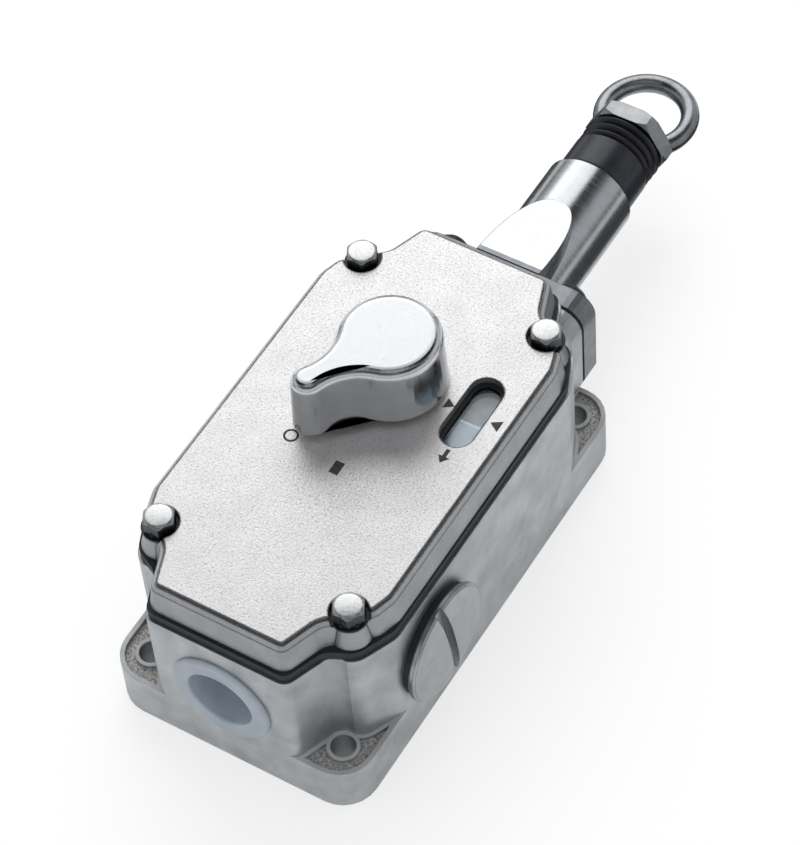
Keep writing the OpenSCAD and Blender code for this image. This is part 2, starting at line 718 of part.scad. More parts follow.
module front_bush() {
    edge = 0.6;
    color("#1b1d22") turned([
        [shaft_r + fit, tube_front_x], [bush_seat_r, tube_front_x], [bush_seat_r, tube_x1],
        [bush_r - edge, tube_x1], [bush_r, tube_x1 + edge],
        [bush_r, bush_x1 - edge], [bush_r - edge, bush_x1],
        [wiper_r, bush_x1], [wiper_r, bush_x1 - wiper_t], [shaft_r + fit, bush_x1 - wiper_t]]);
}

module shaft_wiper() {
    lip = 0.8;
    color("#202225") turned([
        [shaft_r + 0.02, bush_x1 - wiper_t + 0.6], [shaft_r + lip, bush_x1 - wiper_t],
        [wiper_r, bush_x1 - wiper_t], [wiper_r, bush_x1 - 0.4], [shaft_r + lip, bush_x1 - 0.2]]);
}

bellows_r0 = bush_r - 1.2;                  // between the folds
bellows_r1 = bush_r + 0.3;                  // on the folds
bellows_wall = 0.9;

module bellows() {
    pitch = bellows_l / bellows_n;
    steps = 5;
    depth = bellows_r1 - bellows_r0;
    outer = flat([for (i = [0 : bellows_n - 1]) [for (s = [0 : steps - 1])
        [bellows_r0 + depth * pow(sin(180 * s / steps), 2), bush_x1 + pitch * (i + s / steps)]]]);
    color("#1b1d22") turned(concat(outer, [[bellows_r0, collar_x0],
        [bellows_r0 - bellows_wall, collar_x0], [bellows_r0 - bellows_wall, bush_x1]]));
}

// ---------------------------------------------------------------- rope shaft and what it carries
stud_r = 3;
stud_x1 = collar_x1 - 0.4;
cup_x = flange_x1 + 1.9;                    // back of the cup that the main spring pushes on
cup_t = 1.8;
groove_w = 1;
groove_depth = 0.6;
plunger_x = [block_x1 - 19, block_x1 - 11];
plunger_r = 2;
sleeve_wall = 5;
cone_r0 = shaft_r + sleeve_wall;
cone_x0 = plunger_x[0] - 8;
cone_x1 = plunger_x[1] + 3;
sleeve_x0 = cone_x0 - 4;                    // start of the sleeve's straight part
sleeve_pin_r = 1;
sleeve_pin_x = sleeve_x0 + 2;
shaft_x0 = sleeve_x0 - 20;                  // free end of the rope shaft
flag_ring_x = cone_x1 + 2.5;
flag_ring_t = 3;
flag_ring_r = shaft_r + 3;

function cone_r(x) = cone_r0 - cone_slope * (x - cone_x0);

module rope_shaft() {
    color("silver") turned([
        [0, shaft_x0], [shaft_r - 0.6, shaft_x0], [shaft_r, shaft_x0 + 0.6], [shaft_r, cup_x - groove_w],
        [shaft_r - groove_depth, cup_x - groove_w], [shaft_r - groove_depth, cup_x], [shaft_r, cup_x],
        [shaft_r, collar_x0], [stud_r, collar_x0], [stud_r, stud_x1], [0, stud_x1]]);
}

module cone_sleeve() {
    color("dimgray") difference() {
        turned([[shaft_r, sleeve_x0], [cone_r0 - 0.5, sleeve_x0], [cone_r0, sleeve_x0 + 0.5],
            [cone_r0, cone_x0],
            [cone_r(cone_x1), cone_x1], [shaft_r, cone_x1]]);
        translate([sleeve_pin_x, 0, axis_z - cone_r0 - cut])
            cylinder(h = 2 * (cone_r0 + cut), r = sleeve_pin_r);
    }
}

module sleeve_pin() {
    color("gray") for (z = [axis_z - cone_r0 + gap, axis_z + shaft_r])
        translate([sleeve_pin_x, 0, z]) cylinder(h = cone_r0 - shaft_r - gap, r = sleeve_pin_r);
}

flag_z = window_rim_z - 0.8;                // top of the indicator plate under the lens
flag_t = 1;
flag_w = window_w - 1.2;
flag_x0 = window_x - window_l / 2 - pull_travel - 1;
flag_x1 = screw_x - boss_r + 1 - gap - pull_travel;   // clears the lid's column at full pull
flag_tab_l = 5;                             // tab that joins the plate to its arm

module indicator_flag() {
    arm_t = 1.2;
    arm_w = 3.4;
    arm_x = flag_ring_x + (flag_ring_t - arm_t) / 2;
    root_y = -flag_ring_r + 0.6;
    y0 = -window_y + flag_w / 2;
    y1 = y0 + arm_w;
    color("lightgray") {
        turned([[shaft_r, flag_ring_x], [flag_ring_r, flag_ring_x], [flag_ring_r, flag_ring_x + flag_ring_t],
            [shaft_r, flag_ring_x + flag_ring_t]]);
        translate([arm_x, 0, 0]) rotate([90, 0, 90]) linear_extrude(arm_t) polygon([
            [root_y, axis_z - arm_w / 2], [y0, axis_z + 4], [y0, flag_z - flag_t / 2],
            [y1, flag_z - flag_t / 2], [y1, axis_z + 4 + arm_w], [root_y, axis_z + arm_w / 2]]);
        translate([flag_x0, -window_y - flag_w / 2, flag_z - flag_t])
            cube([flag_x1 - flag_x0, flag_w, flag_t]);
        translate([arm_x - flag_tab_l, y0 - 0.5, flag_z - flag_t])
            cube([flag_tab_l + arm_t, arm_w + 0.5, flag_t]);
    }
}

module spring_cup() {
    color("gray") turned([[shaft_r, cup_x], [chamber_r - gap, cup_x], [chamber_r - gap, cup_x + cup_t],
        [shaft_r, cup_x + cup_t]]);
}

module cup_circlip() {
    x0 = cup_x - groove_w;
    color("dimgray") turned([[shaft_r - groove_depth, x0], [shaft_r + 1.6, x0], [shaft_r + 1.6, cup_x],
        [shaft_r - groove_depth, cup_x]]);
}

spring_washer_t = 0.8;

module spring_washer() {
    x1 = tube_front_x;
    color("gray") turned([[shaft_r + gap, x1 - spring_washer_t], [chamber_r - fit, x1 - spring_washer_t],
        [chamber_r - fit, x1], [shaft_r + gap, x1]]);
}

// round wire swept along a helix about the rope axis
module helix(x0, x1, mean_r, wire_r, turns) {
    steps = 14;
    sides = 8;
    n = steps * turns;
    pitch = (x1 - x0) / turns;
    lean = atan2(pitch, 2 * PI * mean_r);
    points = [for (i = [0 : n]) let (a = 360 * i / steps) for (s = [0 : sides - 1]) let (b = 360 * s / sides)
        [x0 + (x1 - x0) * i / n + wire_r * sin(b) * cos(lean),
         (mean_r + wire_r * cos(b)) * cos(a) + wire_r * sin(b) * sin(lean) * sin(a),
         (mean_r + wire_r * cos(b)) * sin(a) - wire_r * sin(b) * sin(lean) * cos(a)]];
    translate([0, 0, axis_z]) polyhedron(points = points, convexity = 10, faces = concat(
        [[for (s = [0 : sides - 1]) s]],
        [[for (s = [sides - 1 : -1 : 0]) n * sides + s]],
        [for (i = [0 : n - 1], s = [0 : sides - 1])
            let (t = (s + 1) % sides, a = i * sides, b = a + sides)
            each [[a + s, b + s, b + t], [a + s, b + t, a + t]]]));
}

module main_spring() {
    end_gap = spring_wire_r + 0.1;
    color("slategray") helix(cup_x + cup_t + end_gap, tube_front_x - spring_washer_t - end_gap,
        chamber_r - spring_wire_r - 0.4, spring_wire_r, spring_turns);
}

module eye_lock_nut() {
    nut_t = 1.7;
    color("silver") translate([collar_x0 - nut_t, 0, axis_z]) rotate([0, 90, 0]) difference() {
        cylinder(h = nut_t, r = shaft_r + 1.8, $fn = 6);
        translate([0, 0, -cut]) cylinder(h = nut_t + 2 * cut, r = shaft_r);
    }
}

module rope_eye() {
    hex_r = collar_af / 2 / cos(30);
    color("silver") difference() {
        union() {
            intersection() {
                translate([collar_x0, 0, axis_z]) rotate([0, 90, 0]) rotate([0, 0, 30])
                    cylinder(h = collar_t, r = hex_r, $fn = 6);
                turned([[0, collar_x0], [hex_r - 1, collar_x0], [hex_r, collar_x0 + 0.7],
                    [hex_r, collar_x1 - 0.7], [hex_r - 1, collar_x1], [0, collar_x1]]);
            }
            difference() {
                translate([ring_x, 0, axis_z]) rotate_extrude() translate([ring_r, 0])
                    circle(r = ring_rod_r, $fn = 32);
                translate([collar_x1 - 0.5 - 4 * ring_r, -2 * ring_r, 0])
                    cube([4 * ring_r, 4 * ring_r, 2 * axis_z]);
            }
        }
        rod(collar_x0 - cut, stud_x1, stud_r);
    }
}

// ---------------------------------------------------------------- contact block and chassis
block_y0 = 11;
block_y1 = 22.5;
block_h = 24.5;
channel_z = slide_z - gap;
cheek_w = 1.4;
terminal_n = 4;
terminal_pitch = 5.1;
terminal_x0 = block_x0 + 2.9;
terminal_y = (block_y0 + block_y1) / 2;
terminal_r = 1.2;
terminal_depth = 6;
fin_t = 0.4;
fin_h = 2;
clamp_t = 0.8;
clamp_w = 6;
block_top = block_z + block_h;
plunger_end_y = 16;
plunger_push = cone_slope * pull_travel;    // travel of the plungers at full pull

module contact_block() {
    bridge_x0 = knob_x - slide_w / 2 - gap - cheek_w;
    bridge_l = slide_w + 2 * (gap + cheek_w);
    block_w = block_y1 - block_y0;
    color("ivory") difference() {
        union() {
            translate([block_x0, block_y0, block_z]) cube([block_x1 - block_x0, block_w, block_h]);
            translate([bridge_x0, block_y0, block_top - cut])
                cube([bridge_l, block_w, slide_z + slide_t - block_top + cut]);
            for (i = [0 : terminal_n])
                translate([terminal_x0 + terminal_pitch * (i - 0.5) - fin_t / 2, block_y0, block_top - cut])
                    cube([fin_t, block_w, fin_h + cut]);
        }
        translate([knob_x - slide_w / 2 - gap, block_y0 - cut, channel_z])
            cube([slide_w + 2 * gap, block_w + 2 * cut, slide_t + gap + 2 * cut]);
        translate([knob_x - latch_w / 2 - gap, latch_y - latch_back - gap, slide_z - latch_drop - 2 * gap])
            cube([latch_w + 2 * gap, latch_back + latch_t + latch_out + 2 * gap, latch_drop + 2 * gap]);
        for (x = plunger_x) translate([x, block_y0 - cut, axis_z]) rotate([-90, 0, 0])
            cylinder(h = plunger_end_y + plunger_push + gap - block_y0 + cut, r = plunger_r + fit);
        at_terminals(block_top - terminal_depth) cylinder(h = terminal_depth + cut, r = terminal_r + fit);
        for (p = block_screw_at) translate([p.x, p.y, block_z - cut])
            cylinder(h = block_h + 2 * cut, r = block_screw_r + gap);
    }
}

module at_terminals(z) {
    for (i = [0 : terminal_n - 1]) translate([terminal_x0 + terminal_pitch * i, terminal_y, z]) children();
}

module contact_plungers() {
    color("firebrick") for (x = plunger_x) {
        tip_y = cone_r(x) + plunger_r * sqrt(1 + cone_slope * cone_slope) + gap;
        translate([x, tip_y, axis_z]) {
            sphere(r = plunger_r);
            rotate([-90, 0, 0]) cylinder(h = plunger_end_y - tip_y, r = plunger_r);
        }
    }
}

module terminal_clamps() {
    clamp_l = terminal_pitch - fin_t - 0.9;
    color("gold") at_terminals(block_top) difference() {
        translate([-clamp_l / 2, -clamp_w / 2, 0]) cube([clamp_l, clamp_w, clamp_t]);
        translate([0, 0, -cut]) cylinder(h = clamp_t + 2 * cut, r = terminal_r + fit);
    }
}

slot_w = 0.7;

// cheese-head screw with a straight slot: the seat of its head is at z = 0
module slotted_screw(r, length) {
    head_r = 1.6 * r;
    head_h = 1.15 * r;
    difference() {
        union() {
            translate([0, 0, -length]) cylinder(h = length + 0.1, r = r);
            cylinder(h = head_h, r = head_r);
        }
        translate([-head_r - cut, -slot_w / 2, head_h * 0.55]) cube([2 * (head_r + cut), slot_w, head_h]);
    }
}

module terminal_screws() {
    color("silver") at_terminals(block_top + clamp_t)
        slotted_screw(terminal_r, clamp_t + terminal_depth - 1);
}

module block_screws() {
    color("silver") for (p = block_screw_at) translate([p.x, p.y, block_top])
        slotted_screw(block_screw_r, block_h + chassis_t + pad_h + blind / 2);
}

tab_x = sleeve_x0 - 10;                     // tab that guides the back of the rope shaft
tab_t = 2;
tab_r = shaft_r + 4;

module chassis() {
    margin = 1;
    y0 = chassis_screw_at[0].y - pad_r;
    color("lightslategray") difference() {
        union() {
            translate([block_x0 - margin, y0, chassis_z])
                cube([block_x1 - block_x0 + 2 * margin, block_y1 + margin - y0, chassis_t]);
            translate([tab_x, -tab_r, chassis_z]) cube([tab_t, 2 * tab_r, axis_z - chassis_z]);
            rod(tab_x, tab_x + tab_t, tab_r);
        }
        rod(tab_x - cut, tab_x + tab_t + cut, shaft_r + fit);
        for (p = chassis_screw_at) translate([p.x, p.y, 0]) cylinder(h = axis_z, r = chassis_screw_r + gap);
        for (p = block_screw_at) translate([p.x, p.y, 0]) cylinder(h = axis_z, r = block_screw_r + gap);
    }
}

module chassis_screws() {
    color("silver") for (p = chassis_screw_at) translate([p.x, p.y, block_z])
        slotted_screw(chassis_screw_r, chassis_t + pad_h + blind / 2);
}

earth_clamp_t = 1;
earth_clamp_w = 8;

module earth_clamp() {
    color("gold") translate([earth_at.x, earth_at.y, floor_t + earth_h]) difference() {
        translate([-earth_clamp_w / 2, -earth_clamp_w / 2, 0])
            cube([earth_clamp_w, earth_clamp_w, earth_clamp_t]);
        translate([0, 0, -cut]) cylinder(h = earth_clamp_t + 2 * cut, r = earth_r + fit);
    }
}

module earth_screw() {
    color("green") translate([earth_at.x, earth_at.y, floor_t + earth_h + earth_clamp_t])
        slotted_screw(earth_r, earth_clamp_t + earth_h + blind / 2);
}

// ---------------------------------------------------------------- cap and plugs in the entries
module transit_cap() {
    x0 = -end_x - cap_t;
    x1 = -end_x + entry_depth;
    wall_t = 1.2;
    color("aliceblue") turned([[cup_r + 0.3, x0], [cap_r - 0.5, x0], [cap_r, x0 + 0.5], [cap_r, -end_x],
        [entry_r - 0.1, -end_x], [entry_r - 0.3, x1], [0, x1], [0, x1 - wall_t],
        [cup_r - 0.3, x1 - wall_t], [cup_r, x0 + 0.4]]);
}

// domed plug with a straight slot
module plug(side) {
    z0 = plug_seal_t;
    z1 = z0 + plug_edge;
    thread_r = entry_r - 0.1;
    slot_w = 2.2;
    color("silver") at_side_entry(side) difference() {
        rotate_extrude() polygon([[0, -entry_depth + 0.5], [thread_r - 0.5, -entry_depth + 0.5],
            [thread_r, -entry_depth + 1], [thread_r, z0], [plug_r - 0.5, z0], [plug_r, z0 + 0.5],
            [plug_r, z1 - 0.5], [plug_r - 0.4, z1], [0.75 * plug_r, z1 + 0.55 * plug_dome],
            [0.45 * plug_r, z1 + 0.88 * plug_dome], [0, z1 + plug_dome]]);
        rotate([0, 0, 8]) translate([-slot_w / 2, -plug_r - cut, z1 - 0.7])
            cube([slot_w, 2 * (plug_r + cut), plug_dome + 2 * cut]);
    }
}

module plug_seal(side) {
    color("#202225") at_side_entry(side) ring(plug_r - 0.9, entry_r - 0.1, 0, plug_seal_t);
}

module plug_right() { plug(-1); }
module plug_left() { plug(1); }
module plug_seal_right() { plug_seal(-1); }
module plug_seal_left() { plug_seal(1); }

housing();
lid();
lid_gasket();
lid_screws();
lid_screw_washers();
window_lens();
window_seal();
window_retainer();
reset_knob();
knob_shaft();
knob_seal();
knob_circlip();
knob_grub_screw();
reset_cam();
latch_slide();
tube_housing();
tube_gasket();
tube_screws();
front_bush();
shaft_wiper();
bellows();
rope_shaft();
rope_eye();
eye_lock_nut();
cone_sleeve();
sleeve_pin();
indicator_flag();
main_spring();
spring_cup();
cup_circlip();
spring_washer();
contact_block();
contact_plungers();
terminal_clamps();
terminal_screws();
block_screws();
chassis();
chassis_screws();
earth_clamp();
earth_screw();
transit_cap();
plug_right();
plug_left();
plug_seal_right();
plug_seal_left();
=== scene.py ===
# %% [markdown]
# # A rope pull switch, dressed for a studio picture
#
# The switch is a stainless steel casting with a gasketed lid, a reset knob, an indicator
# window and a sprung rope shaft with an eye. Its pieces come ready made, at their real size
# and in their real places, from the imported CAD model, so this script only adds what CAD
# leaves out: the finish of every surface, the two pieces that stretch when the rope pulls,
# the turned heads of the lid screws, the marks on the lid, and a small studio to look at it
# all in.
#
# The box round them is kept, so that the end of the script can print its size next to the
# size of the finished scene.

# %% Load the model
import math

import bmesh
import bpy
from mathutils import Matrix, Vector


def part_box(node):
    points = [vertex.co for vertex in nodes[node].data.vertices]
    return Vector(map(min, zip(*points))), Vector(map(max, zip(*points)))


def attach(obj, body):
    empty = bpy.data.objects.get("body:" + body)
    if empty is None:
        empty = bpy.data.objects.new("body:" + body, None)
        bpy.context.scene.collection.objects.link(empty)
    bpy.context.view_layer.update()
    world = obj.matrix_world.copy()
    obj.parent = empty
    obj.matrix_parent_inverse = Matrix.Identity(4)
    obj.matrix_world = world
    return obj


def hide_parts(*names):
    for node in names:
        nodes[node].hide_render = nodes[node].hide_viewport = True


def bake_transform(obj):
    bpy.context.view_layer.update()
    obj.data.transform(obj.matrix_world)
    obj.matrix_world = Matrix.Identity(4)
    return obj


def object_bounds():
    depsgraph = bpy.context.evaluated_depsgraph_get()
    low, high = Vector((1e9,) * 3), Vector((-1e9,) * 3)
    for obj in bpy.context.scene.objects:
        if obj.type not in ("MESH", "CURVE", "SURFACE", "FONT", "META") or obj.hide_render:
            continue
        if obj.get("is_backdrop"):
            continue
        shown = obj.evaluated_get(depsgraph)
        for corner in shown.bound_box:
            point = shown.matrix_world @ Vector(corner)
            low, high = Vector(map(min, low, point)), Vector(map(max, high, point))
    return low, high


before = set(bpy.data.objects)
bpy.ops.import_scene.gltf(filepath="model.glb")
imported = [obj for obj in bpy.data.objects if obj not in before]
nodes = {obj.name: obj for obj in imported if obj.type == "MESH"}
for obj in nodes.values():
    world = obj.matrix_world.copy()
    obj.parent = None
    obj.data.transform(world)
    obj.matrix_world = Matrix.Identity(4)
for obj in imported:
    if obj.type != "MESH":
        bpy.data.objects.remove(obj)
cad_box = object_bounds()

# %% [markdown]
# ## Lengths and colours
#
# Blender counts in metres, and the makers of such a switch count in millimetres, so every
# length below is a number of millimetres times `MM`. Colours are written as sRGB hex codes,
# the way a colour picker shows them. Shaders want linear light instead, and one function
# turns the first into the second.

# %% Lengths and colours
MM = 0.001


def colour(code):
    """The linear colour of an sRGB hex code such as "#A5AAAD"."""
    parts = [int(code[i : i + 2], 16) / 255 for i in (1, 3, 5)]
    linear = (p / 12.92 if p <= 0.04045 else ((p + 0.055) / 1.055) ** 2.4 for p in parts)
    return (*linear, 1.0)


print("mid grey is", [round(part, 3) for part in colour("#808080")])

# %% [markdown]
# ## The camera
#
# A long lens from above the front corner shows the lid, the front with its cable entry, the
# right-hand side and the whole rope end in one view. A long lens also keeps the far end
# nearly as large as the near one, as product pictures do. The lens is shifted a little, which
# slides the picture without turning the upright edges of the housing.

# %% The camera
CAMERA_PLACE = Vector((-344.1, -255.9, 616.9)) * MM
CAMERA_TURN = (36.764, 3.634, -58.651)
CAMERA_LENS = 145.2
CAMERA_SHIFT = (0.0323, 0.0167)

camera = bpy.data.objects.new("camera", bpy.data.cameras.new("camera"))
bpy.context.scene.collection.objects.link(camera)
camera.location = CAMERA_PLACE
camera.rotation_euler = [math.radians(angle) for angle in CAMERA_TURN]
camera.data.lens = CAMERA_LENS
camera.data.shift_x, camera.data.shift_y = CAMERA_SHIFT
camera.data.clip_start, camera.data.clip_end = 0.01, 20
bpy.context.scene.camera = camera
print(f"the camera stands {CAMERA_PLACE.length * 1000:.0f} mm from the middle of the base")

# %% [markdown]
# ## How a finish is put together
#
# A finish is a small network of nodes: something makes a pattern, something turns the
# pattern into colour, roughness or height, and one Principled shader does the rest. `add`
# makes any kind of node, sets it, and links or fills its inputs, and `new_finish` starts a
# material with a Principled shader in it. The other helpers are patterns used again and again.
#
# The coordinates are the model's own, in metres, so a pattern's scale is one over the real
# size of what it draws.

# %% Helpers for finishes
def add(tree, kind, inputs=(), **settings):
    """One new node. settings are its own, and inputs are values, or sockets to link."""
    made = tree.nodes.new(kind)
    for name, value in settings.items():
        setattr(made, name, value)
    for name, value in dict(inputs).items():
        if isinstance(value, bpy.types.NodeSocket):
            tree.links.new(value, made.inputs[name])
        else:
            made.inputs[name].default_value = value
    return made


def blank_material(name):
    """A new material and its empty tree."""
    material = bpy.data.materials.new(name)
    material.use_nodes = True
    material.node_tree.nodes.clear()
    return material, material.node_tree


def new_finish(name, **values):
    """A new material, its tree, its Principled shader and the model's own coordinates."""
    material, tree = blank_material(name)
    values = {key.replace("_", " "): value for key, value in values.items()}
    shader = add(tree, "ShaderNodeBsdfPrincipled", values)
    add(tree, "ShaderNodeOutputMaterial", {"Surface": shader.outputs[0]})
    place = add(tree, "ShaderNodeTexCoord").outputs["Object"]
    return material, tree, shader, place


def blotches(tree, place, size, detail=2.0, low=0.0, high=1.0):
    """Soft cloudy noise with blotches of that size in metres, kept between low and high."""
    settings = {"Vector": place, "Scale": 1 / size, "Detail": detail}
    noise = add(tree, "ShaderNodeTexNoise", settings).outputs[0]
    spread = {"Value": noise, "From Min": 0.3, "From Max": 0.7, "To Min": low, "To Max": high}
    return add(tree, "ShaderNodeMapRange", spread).outputs[0]


def between(tree, share, first, second):
    """A colour between two, by share. Each is a hex code or a colour socket."""
    first, second = (colour(tone) if isinstance(tone, str) else tone for tone in (first, second))
    return add(tree, "ShaderNodeMix", {0: share, 6: first, 7: second}, data_type="RGBA").outputs[2]


def upwardness(tree, normal="Normal"):
    """How far the surface looks up: 1 where it is level and 0 where it is upright."""
    way = add(tree, "ShaderNodeNewGeometry").outputs[normal]
    return add(tree, "ShaderNodeSeparateXYZ", {0: way}).outputs[2]


def facing_up(tree, low, high, normal="Normal"):
    """0 where the surface looks up by less than low, 1 by more than high, and a ramp between."""
    ramp = {"Value": upwardness(tree, normal), "From Min": low, "From Max": high}
    return add(tree, "ShaderNodeMapRange", ramp).outputs[0]


def roughen(tree, shader, share, low, high):
    """Lets share move the roughness between low and high."""
    limits = {"Value": share, "To Min": low, "To Max": high}
    tree.links.new(add(tree, "ShaderNodeMapRange", limits).outputs[0], shader.inputs["Roughness"])


def raise_grain(tree, shader, grain, depth, edge=0.0):
    """Lets grain raise the surface by up to depth metres, and rounds edges by the radius edge."""
    inputs = {"Height": grain, "Distance": depth, "Strength": 1.0}
    if edge:
        inputs["Normal"] = add(tree, "ShaderNodeBevel", {"Radius": edge}, samples=4).outputs[0]
    bump = add(tree, "ShaderNodeBump", inputs)
    tree.links.new(bump.outputs[0], shader.inputs["Normal"])


def sharp_edges(tree, radius):
    """1 within about radius metres of a sharp edge, and 0 elsewhere."""
    rounded = add(tree, "ShaderNodeBevel", {"Radius": radius}, samples=6).outputs[0]
    plain = add(tree, "ShaderNodeNewGeometry").outputs["Normal"]
    both = {0: rounded, 1: plain}
    along = add(tree, "ShaderNodeVectorMath", both, operation="DOT_PRODUCT").outputs["Value"]
    spread = {"Value": along, "From Min": 0.995, "From Max": 0.965}
    return add(tree, "ShaderNodeMapRange", spread).outputs[0]


print("helpers ready")

# %% [markdown]
# ## Cast and bead-blasted stainless steel
#
# Housing, lid and tube flange are poured in 316 stainless steel and then blasted with glass
# beads. Steel is a metal, so it has no colour of its own beyond a pale grey: the blasting
# makes it rough, which spreads each reflection into a soft sheen. The beads leave dimples of
# about 0.2 mm, finer than the picture can show, so they are drawn at 0.5 mm. Broad, faint
# clouds come from the uneven skin of the casting.
#
# The pockets in the feet are left as they came out of the mould, because nobody blasts into
# them: there the skin is coarser and darker. They are found by height and by which way the
# surface faces, so the same material serves the whole casting. The tops of the feet, pockets
# and rims alike, get a dull oxide film, which scatters light as paint does, so they are only
# partly metal.

# %% Finish: cast housing
BEAD = 0.5 * MM
SKIN = 7 * MM
POCKET_TOP = 12.0 * MM
FOOT_TOP = 12.8 * MM
POCKET_GRAIN = 0.6 * MM
FOOT_METAL = 0.25


def cast_housing_finish():
    name = "investment cast stainless, bead blasted"
    material, tree, shader, place = new_finish(name, Metallic=1.0)
    beads = blotches(tree, place, BEAD, 1.0)
    clouds = blotches(tree, place, SKIN, 3.0)
    grains = blotches(tree, place, POCKET_GRAIN, 4.0)
    height = add(tree, "ShaderNodeSeparateXYZ", {0: place}).outputs[2]
    level = {0: upwardness(tree, "True Normal"), 1: 0.9}
    level = add(tree, "ShaderNodeMath", level, operation="GREATER_THAN").outputs[0]
    shares = []
    for limit in (POCKET_TOP, FOOT_TOP):
        low = add(tree, "ShaderNodeMath", {0: height, 1: limit}, operation="LESS_THAN").outputs[0]
        both = add(tree, "ShaderNodeMath", {0: low, 1: level}, operation="MULTIPLY").outputs[0]
        shares.append(both)
    pocket, foot = shares
    metal = {"Value": foot, "To Min": 1.0, "To Max": FOOT_METAL}
    metal = add(tree, "ShaderNodeMapRange", metal).outputs[0]
    tree.links.new(metal, shader.inputs["Metallic"])
    blasted = between(tree, clouds, "#B0B3B5", "#CBCED0")
    raw = between(tree, grains, "#6F6D6B", "#DAD8D5")
    tree.links.new(between(tree, pocket, blasted, raw), shader.inputs["Base Color"])
    roughen(tree, shader, beads, 0.42, 0.55)
    coarse = add(tree, "ShaderNodeMath", {0: grains, 1: pocket}, operation="MULTIPLY").outputs[0]
    relief = {0: coarse, 1: 3.0, 2: beads}
    relief = add(tree, "ShaderNodeMath", relief, operation="MULTIPLY_ADD").outputs[0]
    raise_grain(tree, shader, relief, 0.02 * MM, edge=0.35 * MM)
    return material


cast_stainless = cast_housing_finish()
print(cast_stainless.name, "with", len(cast_stainless.node_tree.nodes), "nodes")

# %% [markdown]
# ## The lid
#
# The lid is the same steel, blasted finer and then rubbed flat on top. It is paler, it
# scatters light in part as paint does, and small dark specks stay where the rubbing missed
# the bottom of a dimple: the dark end of a fine noise, cut off with a ramp. Its sides are left
# as blasted, a little darker than the housing, and are told from the top by which way they
# face. Along sharp edges a thin dark line is painted into the colour and draws the outline:
# painted shade, a painted dark reflection of the small rounding on each edge.

# %% Finish: lid
SPECK = 0.45 * MM
EDGE_LINE = 0.6 * MM


def lid_finish():
    material, tree, shader, place = new_finish("lid stainless, blasted and linished", Metallic=0.75)
    beads = blotches(tree, place, BEAD, 2.0)
    clouds = blotches(tree, place, SKIN, 3.0)
    fine = {"Vector": place, "Scale": 1 / SPECK, "Detail": 2.0, "Roughness": 0.6}
    fine = add(tree, "ShaderNodeTexNoise", fine).outputs[0]
    cut = {"Value": fine, "From Min": 0.26, "From Max": 0.46}
    speck = add(tree, "ShaderNodeMapRange", cut).outputs[0]
    rubbed = between(tree, speck, "#B8B7B6", between(tree, clouds, "#DFDEDE", "#E8E7E7"))
    blasted = between(tree, clouds, "#9CA0A3", "#ACB0B2")
    clean = between(tree, facing_up(tree, 0.5, 0.95), blasted, rubbed)
    # Painted shade: a thin dark line is painted along every sharp edge, standing in for the dark reflection
    # of its small rounding.
    lid_tone_with_painted_edge = between(tree, sharp_edges(tree, EDGE_LINE), clean, "#26282A")
    tree.links.new(lid_tone_with_painted_edge, shader.inputs["Base Color"])
    roughen(tree, shader, beads, 0.34, 0.5)
    relief = add(tree, "ShaderNodeMath", {0: beads, 1: speck}, operation="ADD").outputs[0]
    raise_grain(tree, shader, relief, 0.018 * MM, edge=0.25 * MM)
    return material


lid_stainless = lid_finish()
print(lid_stainless.name)

# %% [markdown]
# ## Turned, ground and polished steel
#
# The tube, the shaft and the plugs come off a lathe, so their surface is a very fine screw
# thread of tool marks. Marks run round the piece, and one number per position along the axis
# is enough to draw them: the noise reads the coordinates squeezed flat across the axis. Tool
# marks are about 0.1 mm apart and are drawn at 0.35 mm.
#
# Lathe marks also stretch the highlight across themselves, which is what the shader's
# anisotropy does, turned about the same axis. The tube's flange never sees the lathe: up to
# there the piece is left as cast and blasted, darker and duller.

# %% Finish: turned steel
TOOL_MARK = 0.35 * MM
FLANGE_END = 64 * MM
FLANGE_DULLER = 0.22
TURNED_EDGE = 0.25 * MM


def turned_finish(name, axis, dark, light, roughness, blasted=None):
    """Steel turned about axis X, Y or Z, but left as blasted up to there along the axis."""
    values = {"Metallic": 1.0, "Anisotropic": 0.3, "Anisotropic_Rotation": 0.25}
    material, tree, shader, place = new_finish(name, **values)
    along = [1.0 if letter == axis else 0.03 for letter in "XYZ"]
    flat = add(tree, "ShaderNodeVectorMath", {0: place, 1: along}, operation="MULTIPLY").outputs[0]
    marks = blotches(tree, flat, TOOL_MARK, 2.0)
    clouds = blotches(tree, place, 3 * MM, 3.0)
    worn = add(tree, "ShaderNodeMath", {0: marks, 1: clouds}, operation="MULTIPLY").outputs[0]
    tone = between(tree, worn, dark, light)
    limits = {"Value": marks, "To Min": roughness - 0.04, "To Max": roughness + 0.04}
    rough = add(tree, "ShaderNodeMapRange", limits).outputs[0]
    if blasted:
        reach = add(tree, "ShaderNodeSeparateXYZ", {0: place}).outputs["XYZ".index(axis)]
        cast = {0: reach, 1: blasted}
        cast = add(tree, "ShaderNodeMath", cast, operation="LESS_THAN").outputs[0]
        tone = between(tree, cast, tone, between(tree, clouds, "#888B8E", "#999C9F"))
        duller = {0: cast, 1: FLANGE_DULLER, 2: rough}
        rough = add(tree, "ShaderNodeMath", duller, operation="MULTIPLY_ADD").outputs[0]
    # Painted shade: a dark line is painted along the sharp edges, standing in for the dark reflection of
    # their rounding.
    turned_tone_with_painted_edge = between(tree, sharp_edges(tree, TURNED_EDGE), tone, "#45484B")
    tree.links.new(turned_tone_with_painted_edge, shader.inputs["Base Color"])
    tree.links.new(rough, shader.inputs["Roughness"])
    turning = add(tree, "ShaderNodeTangent", direction_type="RADIAL", axis=axis).outputs[0]
    tree.links.new(turning, shader.inputs["Tangent"])
    raise_grain(tree, shader, marks, 0.001 * MM, edge=0.2 * MM)
    return material


